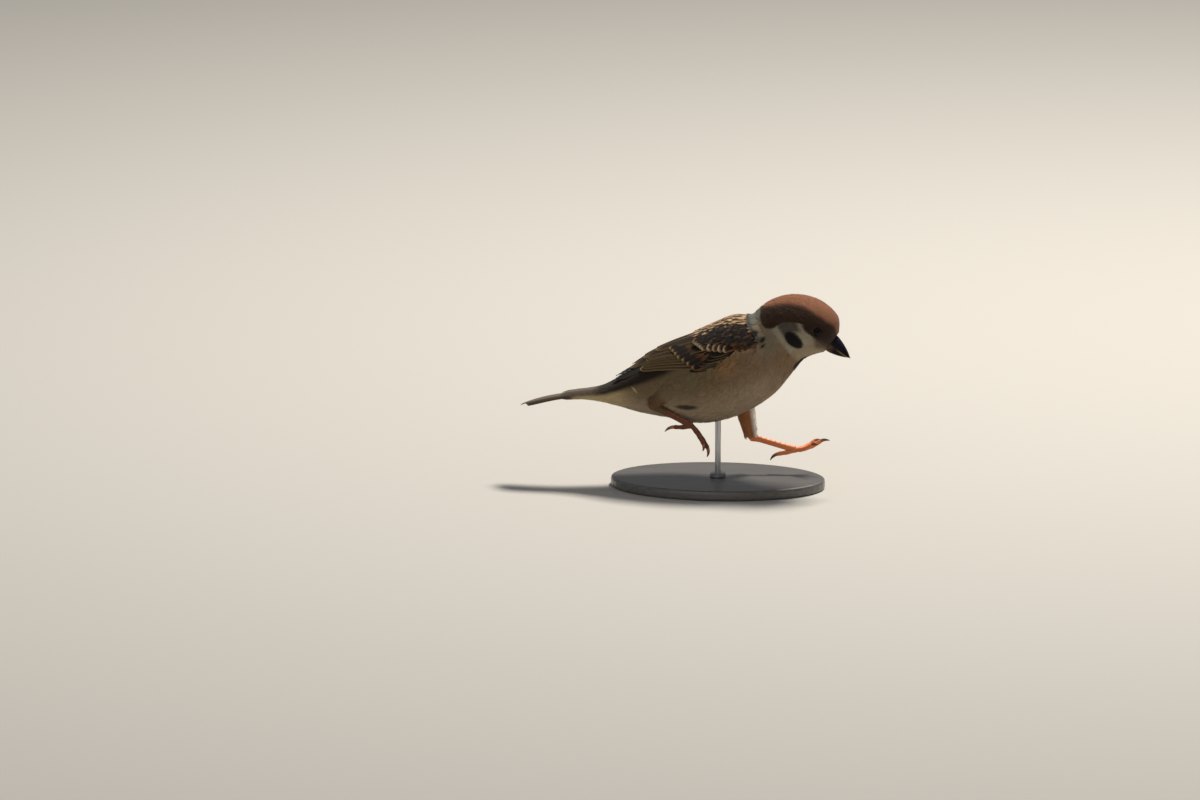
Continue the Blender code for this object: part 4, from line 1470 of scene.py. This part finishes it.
# %% Markings of the wing feathers
# a is 0 at a feather's root and 1 at its tip, o is 1 at its outer, lower edge and -1 at the inner.
def primary_colour(a, o):
    # the silver at the tips and along the outer edges is a painted glint
    edge = ramp(0.62, 0.82, o) * ramp(0.99, 0.8, a) * ramp(0.75, 0.5, a)
    return layered(QUILL_DARK, (FLIGHT_DARK, ramp(0.3, 0.8, a)), (EDGE_BUFF, edge * 0.8),
                   (PRIMARY_GLINT, ramp(0.965, 0.995, a) * 0.4),
                   (PRIMARY_GLINT, ramp(0.92, 0.98, o) * ramp(0.5, 0.75, a) * 0.3))


def secondary_colour(a, o):
    return layered(QUILL_DARK, (OLIVE_BROWN, ramp(0.35, 0.7, o) * ramp(0.1, 0.5, a)),
                   (EDGE_BUFF, ramp(0.76, 0.9, o)), (EDGE_PALE, ramp(0.95, 0.99, a) * 0.5))


def tertial_colour(a, o):
    centre = ramp(0.85, 0.6, np.abs(o - 0.02)) * ramp(0.97, 0.82, a)
    return layered(OLIVE_BROWN * 1.3, (QUILL_DARK, centre * 0.8),
                   (EDGE_BUFF, ramp(0.8, 0.95, np.abs(o)) * 0.8), (EDGE_PALE, ramp(0.95, 1.0, a) * 0.6))


def greater_colour(a, o):
    blob = ramp(0.95, 0.6, np.abs(o + 0.05) * (1.25 - 0.55 * a))
    return layered(COVERT_CHESTNUT, (EDGE_BUFF, ramp(0.6, 0.95, a) * 0.8),
                   (QUILL_DARK, blob * ramp(0.95, 0.86, a) * ramp(0.1, 0.5, a)),
                   (TIP_BUFF, ramp(0.93, 0.98, a) * (0.35 + 0.35 * ramp(-0.5, 0.6, o))))


def median_colour(a, o):
    ragged = a + 0.04 * np.abs(o) + 0.025 * rng.standard_normal(a.shape)
    return layered(COVERT_CHESTNUT, (QUILL_DARK, ramp(0.85, 0.5, np.abs(o)) * ramp(0.1, 0.4, a)),
                   (BAR_WHITE, ramp(0.8, 0.94, ragged) * 0.55 * mottle(a, 0.3)[..., 0]))


def lesser_colour(a, o):
    return layered(LESSER_BROWN, (DARK_AND_SHADED_CHESTNUT, ramp(0.7, 0.2, np.abs(o)) * 0.6),
                   (EDGE_BUFF, ramp(0.9, 1.0, a) * 0.2))


def alula_colour(a, o):
    return blend(QUILL_DARK, EDGE_BUFF, ramp(0.72, 0.9, np.abs(o)) * ramp(0.2, 0.4, a) * 0.75)


# %% Pieces from rows
def make_rows(name, surface, rows):
    """One piece from rows of (blades, which edge is outer, colour function, change of tone)."""
    made = []
    for feathers, outward, colour, tone in rows:
        a = feathers["a"]
        made.append((feathers, colour(a, feathers["c"] * outward) * mottle(a, tone)))
    return make_coat(name, FIRM_FEATHER, row_groups(surface, made))


# %% Flight feathers and coverts of both wings
for side_name, leg in LEGS.items():
    side = leg["side"]
    primaries = blade_row(side, 9, ((6.4, 60), (6.4, 72)),
                          ((2.9, 30), (2.6, 27), (2.3, 24), (2.0, 22), (1.75, 22), (1.55, 24), (1.5, 28)),
                          (5.6, 4.6), (-0.6, -1.3), (0.0, 0.9), bow=-4.0, rows=34, pointed=0.2,
                          camber=0.02, tilt=0.22, rise=4.0)
    secondaries = blade_row(side, 6, ((6.1, 44), (6.1, 66)), ((3.1, 22), (2.95, 30), (2.8, 41)),
                            (6.0, 5.4), (-0.2, -0.7), (0.6, 0.3), bow=3.0, rows=30, pointed=0.14,
                            camber=0.02, tilt=0.28)
    tertials = blade_row(side, 3, ((5.5, 22), (5.6, 33)), ((3.4, 10), (2.85, 13), (2.3, 19)),
                         (6.4, 6.8), (0.0, -0.2), (0.85, 0.75), bow=2.0, rows=28, pointed=0.24,
                         camber=0.03, tilt=0.2)
    make_rows(f"flight_{side_name}", body_point, [
        (primaries, -side, primary_colour, 0.05), (secondaries, -side, secondary_colour, 0.07),
        (tertials, -side, tertial_colour, 0.06),
    ])
    greater = blade_row(side, 7, ((5.1, 25), (5.5, 45), (6.1, 66)), ((4.05, 25), (4.45, 47), (5.1, 67)),
                        (5.4, 4.2), (-0.2, -0.4), (0.75, 0.5), rows=18, columns=11, pointed=0.3,
                        camber=0.04)
    primary_coverts = blade_row(side, 4, ((6.8, 67), (6.8, 76)), ((5.35, 66), (5.0, 71)),
                                (3.2, 2.8), (-0.5, -0.8), (0.35, 0.1), rows=16, columns=7, pointed=0.35)
    alula = blade_row(side, 3, ((7.1, 64), (7.1, 69)), ((5.9, 60), (5.5, 65)),
                      (3.0, 2.6), (-0.4, -0.5), (0.5, 0.35), rows=18, columns=7, pointed=0.35)
    median = blade_row(side, 9, ((5.8, 30), (6.2, 45), (7.3, 60)), ((5.1, 32), (5.5, 47), (6.5, 60)),
                       (4.5, 3.7), (-0.4, -0.5), (0.8, 0.55), rows=14, columns=9, pointed=0.3,
                       camber=0.03)
    lesser = [blade_row(side, count, ((7.0 + 0.5 * k, 38 + 3 * k), (8.0 + 0.25 * k, 66)),
                        ((6.25 + 0.5 * k, 40 + 3 * k), (7.25 + 0.25 * k, 68)),
                        (3.6, 3.0), (-0.9, -1.0), (0.2, 0.0), rows=10, columns=7, pointed=0.5)
              for k, count in enumerate((8, 7, 6))]
    make_rows(f"wing_coverts_{side_name}", body_point, [
        (greater, -side, greater_colour, 0.07), (primary_coverts, -side, alula_colour, 0.05),
        (alula, -side, alula_colour, 0.05), (median, -side, median_colour, 0.06),
        *((row, -side, lesser_colour, 0.1) for row in lesser),
    ])

# %% [markdown]
# ## Mantle and scapulars
#
# The feathers of the back and shoulders close the gap between the two wings and lie over their
# roots. They are soft, but larger than the belly's, and each carries a dark streak between paler
# edges, which makes the back look striped from any side. Here the streak follows the feather's
# own coordinates instead of the bird's.

# %% Streaked feathers
def streak_colour(margin, half):
    """A dark streak between edges of the margin's colour; half says how wide it is."""
    def colour(a, c):
        across = np.abs(c + 0.12) / (0.35 + 0.65 * np.minimum(a * 1.4, 1))
        dark = ramp(half + 0.14, half - 0.1, across) * ramp(1.0, 0.95, a) * ramp(0.0, 0.25, a)
        tones = layered(margin, (EDGE_PALE, ramp(0.85, 1.0, a) * 0.35), (QUILL_DARK, dark))
        return tones * mottle(a, 0.1) * mottle_strips(a, 0.06)
    return colour


def streaked_piece(name, made, colour):
    feathers, _ = made
    rows = [(feathers, colour(feathers["a"], feathers["c"]))]
    return make_coat(name, SOFT_FEATHER, row_groups(body_point, rows))


# %% Mantle and scapulars
def scapular_zone(number, turn):
    """Between the mantle and the wing coverts."""
    angle = degrees_from_back(turn)
    upper = np.interp(number, (5.0, 6.5, 8.4), (17, 24, 34))
    lower = np.interp(number, (5.0, 5.8, 7.0, 8.3), (31, 44, 61, 68))
    return (angle > upper) & (angle < lower)


def mantle_zone(number, turn):
    return degrees_from_back(turn) < np.interp(number, (5.0, 6.5, 8.4), (20, 27, 38))


def over_wing(number, turn):
    """Mantle feathers lie over the wing, but slip under the collar."""
    return WING_SINK * under_wing(number, turn) + 0.75 * ramp(8.3, 7.2, number) - 0.35


BACK_ROWS = (0.0, 0.25, 0.5, 0.7, 0.87, 1.0)
scapulars = tract("scapulars", scapular_zone, (5.15, -1.2), (8.1, 1.2), lift=over_wing,
                  rows=BACK_ROWS, fray=0.14, tips=0.25)
streaked_piece("coat_scapulars", scapulars, streak_colour(BACK_BROWN, 0.6))
mantle = tract("mantle", mantle_zone, (5.0, -0.8), (8.2, 0.8), lift=over_wing, rows=BACK_ROWS,
               tips=0.25)
streaked_piece("coat_mantle", mantle, streak_colour(MANTLE_BUFF, 0.3))


# %% [markdown]
# ## Tail
#
# Twelve feathers make the tail. The middle pair lies on top and the others slide under it, one
# by one, so that from above only the edges of the outer ones show.

# %% Surface of the tail
TAIL_ROOT_WIDTH, TAIL_TIP_WIDTH = 11.2, 12.0


def tail_point(p, q, lift=0.0):
    """Points over the tail: p millimetres back from its root and q to the left."""
    p, q, lift = alike(p, q, lift)
    (x, z), *_ = rib_frame(0)
    root = np.array([x, 0.0, z]) + BIRD_ORIGIN
    middle, rise = tail_spine(p)
    bulge = 0.5 * (1 - (q / (TAIL_TIP_WIDTH / 2)) ** 2) * np.clip(p / TAIL_LENGTH, 0, 1)
    return root + middle + q[..., None] * np.array((0.0, 1.0, 0.0)) + rise * (lift + bulge)[..., None]


print("tip of the tail, mm:", tail_point(TAIL_LENGTH, 0.0).round(1))

# %% Tail feathers
HALF_TAIL = 6                   # feathers on each side


def tail_colour(a, o):
    """The middle pair is palest; the ones below it are dark, and all have a thin pale edge."""
    number = per_feather(np.arange(float(HALF_TAIL)), a) + 0.0 * a
    return layered(TAIL_TOP, (TAIL_DARK * 0.7, ramp(-0.5, 2.5, number)),
                   (SOOT, ramp(0.25, 0.0, np.abs(o + 0.3)) * 0.5),
                   (TAIL_EDGE, ramp(0.74, 0.9, o) * ramp(4.0, 1.0, number) * 0.6),
                   (TAIL_EDGE, ramp(0.97, 1.0, a) * 0.4))


def tail_half(side):
    """Six feathers of one half; the outer ones are longer, and those on the right are pulled in."""
    number = np.arange(HALF_TAIL) + 0.5
    lateral = number / number[-1]
    root = np.stack([np.full(HALF_TAIL, -5.0), side * lateral * (TAIL_ROOT_WIDTH / 2 - 2.2)], 1)
    length = TAIL_LENGTH - TAIL_NOTCH * (1 - lateral**1.4) - TAIL_LAG * max(-side, 0.0) * lateral
    tip = np.stack([length, side * lateral * (TAIL_TIP_WIDTH / 2 - 2.0)], 1)
    lift = 0.42 - 0.13 * number + (0.02 if side > 0 else 0.0)
    return blades(tail_point, root, tip, np.full(HALF_TAIL, 4.2), lift, lift, rows=34, pointed=0.34,
                  camber=0.01, shaft=-0.3 * side)


tail = make_rows("tail_feathers", tail_point,
                 [(tail_half(side), side, tail_colour, 0.05) for side in (1.0, -1.0)])
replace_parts(tail, "tail")

# %% [markdown]
# ## Feathers of the shins
#
# A sparrow's shin is feathered down to the heel and the shank is bare. The short feathers run
# round the leg and end in a loose cuff. The same scattering works here on another surface, whose
# first coordinate runs down the leg. The right shin is drawn up to the belly and takes the
# flank's colour at its top; a small sleeve covers its bent heel.

# %% Sleeves of short feathers
SLEEVE_ROWS = (0.0, 0.35, 0.7, 1.0)
SLEEVE_PATCH = 0.02


def sleeve_coat(name, surface, inside, last, colour_of, v_of):
    """Short feathers round a leg; the surface's first coordinate runs down the leg."""
    gap, length, width, strips = FEATHER_SIZES[name]
    p, q = scatter(surface, inside, (0.0, -FULL), (last, FULL), gap)
    wp, _ = worth(surface, np.clip(p, 0.01, 0.95), q)
    size = length * vary(0.12, len(p))
    root, tip = np.stack([p - size / wp, q], 1), np.stack([p, q], 1)
    high = 0.05 * rng.standard_normal(len(p))
    feathers = fans(surface, root, tip, width * vary(0.1, len(p)), high - THIGH_COAT, high, strips,
                    SLEEVE_ROWS, fray=0.18)
    colour = colour_of(feathers) * mottle(feathers["a"], 0.06)
    return surface, feathers, colour, ((q / (2 * np.pi) + 0.5) % 1.0, v_of(p)), SLEEVE_PATCH


# %% Feathers of the shins
THIGH_TONES = {"left": paint("A87046"), "right": paint("6B5238")}
THIGH_START = {"left": (0.0, 0.2), "right": (0.55, 0.95)}       # where the flank's colour gives way
THIGH_RIM_HIGHLIGHT = paint("EFE6D8")
HEEL_START = 1.8                # how far above the heel its sleeve begins, in millimetres
HEEL_END = 0.42                 # how far the sleeve over the right heel reaches down the shank
HEEL_RADII = ((0.0, 0.05, 0.13, HEEL_END), (1.0, 1.7, 1.95, 1.4))


def shin_coat(side):
    """The feathered shin, which blends into the flank, and a sleeve over the heel on the right."""
    def shin(p, q, lift):
        return thigh_point(side, p, q, lift)

    def shin_colour(feathers):
        points, p, q = (feathers[key] for key in ("points", "p", "q"))
        flank = place_colour(*nearest_place(points.reshape(-1, 3))).reshape(points.shape)
        # a painted highlight: a pale rim down the front of the left shin only
        rim = ramp(0.35, 0.8, np.cos(q)) * ramp(0.15, 0.3, p) * (side == "left")
        return layered(flank, (THIGH_TONES[side], ramp(*THIGH_START[side], p)), (THIGH_RIM_HIGHLIGHT, rim))

    path, across = shank_path(side)
    start = path[0] + unit(path[0] - path[-1]) * HEEL_START
    path = start + (path[-1] - start) * np.linspace(0, 1, len(path))[:, None]

    def heel(p, q, lift):
        p, q, lift = alike(p, q, lift)
        return along_path(path, across, p, q, np.interp(p, *HEEL_RADII) + lift)

    def heel_colour(feathers):
        return np.broadcast_to(THIGH_TONES[side], feathers["points"].shape)

    knee, end, _, _ = thigh_frame(side)
    reach = 1.0 + (LEGS[side]["bare_shin"] + 0.6) / np.linalg.norm(end - knee)
    groups = [sleeve_coat("shin", shin, lambda p, q: p > 0.05, reach, shin_colour,
                          lambda p: 0.3 + 0.68 * np.clip(p / reach, 0, 1))]
    if side == "right":
        groups.append(sleeve_coat("heel", heel, lambda p, q: p > 0.03, HEEL_END, heel_colour,
                                  lambda p: 0.02 + 0.2 * p / HEEL_END))
    return make_coat(f"coat_shin_{side}", SOFT_FEATHER, groups)


for side in LEGS:
    shin_coat(side)


# %% [markdown]
# ## Stand
#
# The stand is a turned wooden plate under grey lacquer, with a steel rod in a small collar. Both
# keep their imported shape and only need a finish. Lacquer fills the pores, so the grain shows
# faintly under an even gloss. Brushing leaves the rod with scratches round it, about 0.15 mm
# apart, which stretch its highlights.

# %% Stand materials
def lacquer():
    """Grey lacquer over close-grained wood: a faint cloudiness and a soft shine."""
    material, tree, shader, grain = grained("grey_lacquered_wood", "Object", (18 * MM, 1.2 * MM, 1.2 * MM),
                                            5.0, 0.6, 0.25,
                                            Roughness=0.42, Coat_Weight=0.4, Coat_Roughness=0.18)
    colour = add_node(tree, "ShaderNodeValToRGB", [("Fac", grain.outputs["Fac"])])
    for stop, place, tone in zip(colour.color_ramp.elements, (0.3, 0.75), ("57534F", "6E6A65")):
        stop.position, stop.color = place, (*paint(tone), 1)
    tree.links.new(colour.outputs["Color"], shader.inputs["Base Color"])
    return material


def brushed_steel():
    """Steel with fine scratches round the rod."""
    material, tree, shader, marks = grained("brushed_steel", "Object", (3 * MM, 3 * MM, 0.15 * MM),
                                            2.0, 0.5, 0.1, 0.05 * MM,
                                            Base_Color=(*paint("B4B5B7"), 1.0), Metallic=1.0)
    rough = add_node(tree, "ShaderNodeMapRange", [("Value", marks.outputs["Fac"])],
                     in_To_Min=0.24, in_To_Max=0.44)
    tree.links.new(rough.outputs["Result"], shader.inputs["Roughness"])
    return material


for node, material in (("stand_base", lacquer()), ("stand_rod", brushed_steel())):
    nodes[node].data.materials.clear()
    nodes[node].data.materials.append(material)
print("stand dressed")


# %% [markdown]
# ## Floor and light
#
# A small strong lamp high behind the bird lights the cap and the back, and leaves its right side
# in soft shade. A large weak lamp in front and a pale world open up that shade.

# %% Floor, light and world
bpy.context.scene.view_settings.view_transform = "Standard"


FLOOR_SIZE = 30.0
LIGHT_AIM = Vector((0.0, 0.0, 0.045))       # the middle of the bird


def add_stage():
    deselect_all()
    bpy.ops.mesh.primitive_plane_add(size=FLOOR_SIZE, location=(0.0, 0.0, 0.0))
    floor = bpy.context.object
    floor.name = "floor"
    material, _, shader = new_material("pale_matt_floor")
    set_inputs(shader, Base_Color=(*paint("C9C5BD"), 1.0), Roughness=0.9)
    floor.data.materials.append(material)


def add_light(name, location, energy, size, colour):
    bpy.ops.object.light_add(type="AREA", location=location)
    light = bpy.context.object
    light.name = name
    light.data.energy, light.data.size, light.data.color = energy, size, colour
    way = LIGHT_AIM - Vector(location)
    light.rotation_euler = way.to_track_quat("-Z", "Y").to_euler()


add_stage()
add_light("key", (0.3, 0.5, 1.3), 25.0, 0.3, (1.0, 0.95, 0.88))
add_light("fill", (-0.4, -1.5, 0.9), 2.6, 1.2, (0.97, 0.98, 1.0))
world = bpy.data.worlds.new("studio")
bpy.context.scene.world = world
world.use_nodes = True
set_inputs(world.node_tree.nodes["Background"], Color=(0.9, 0.93, 1.0, 1.0), Strength=0.2)
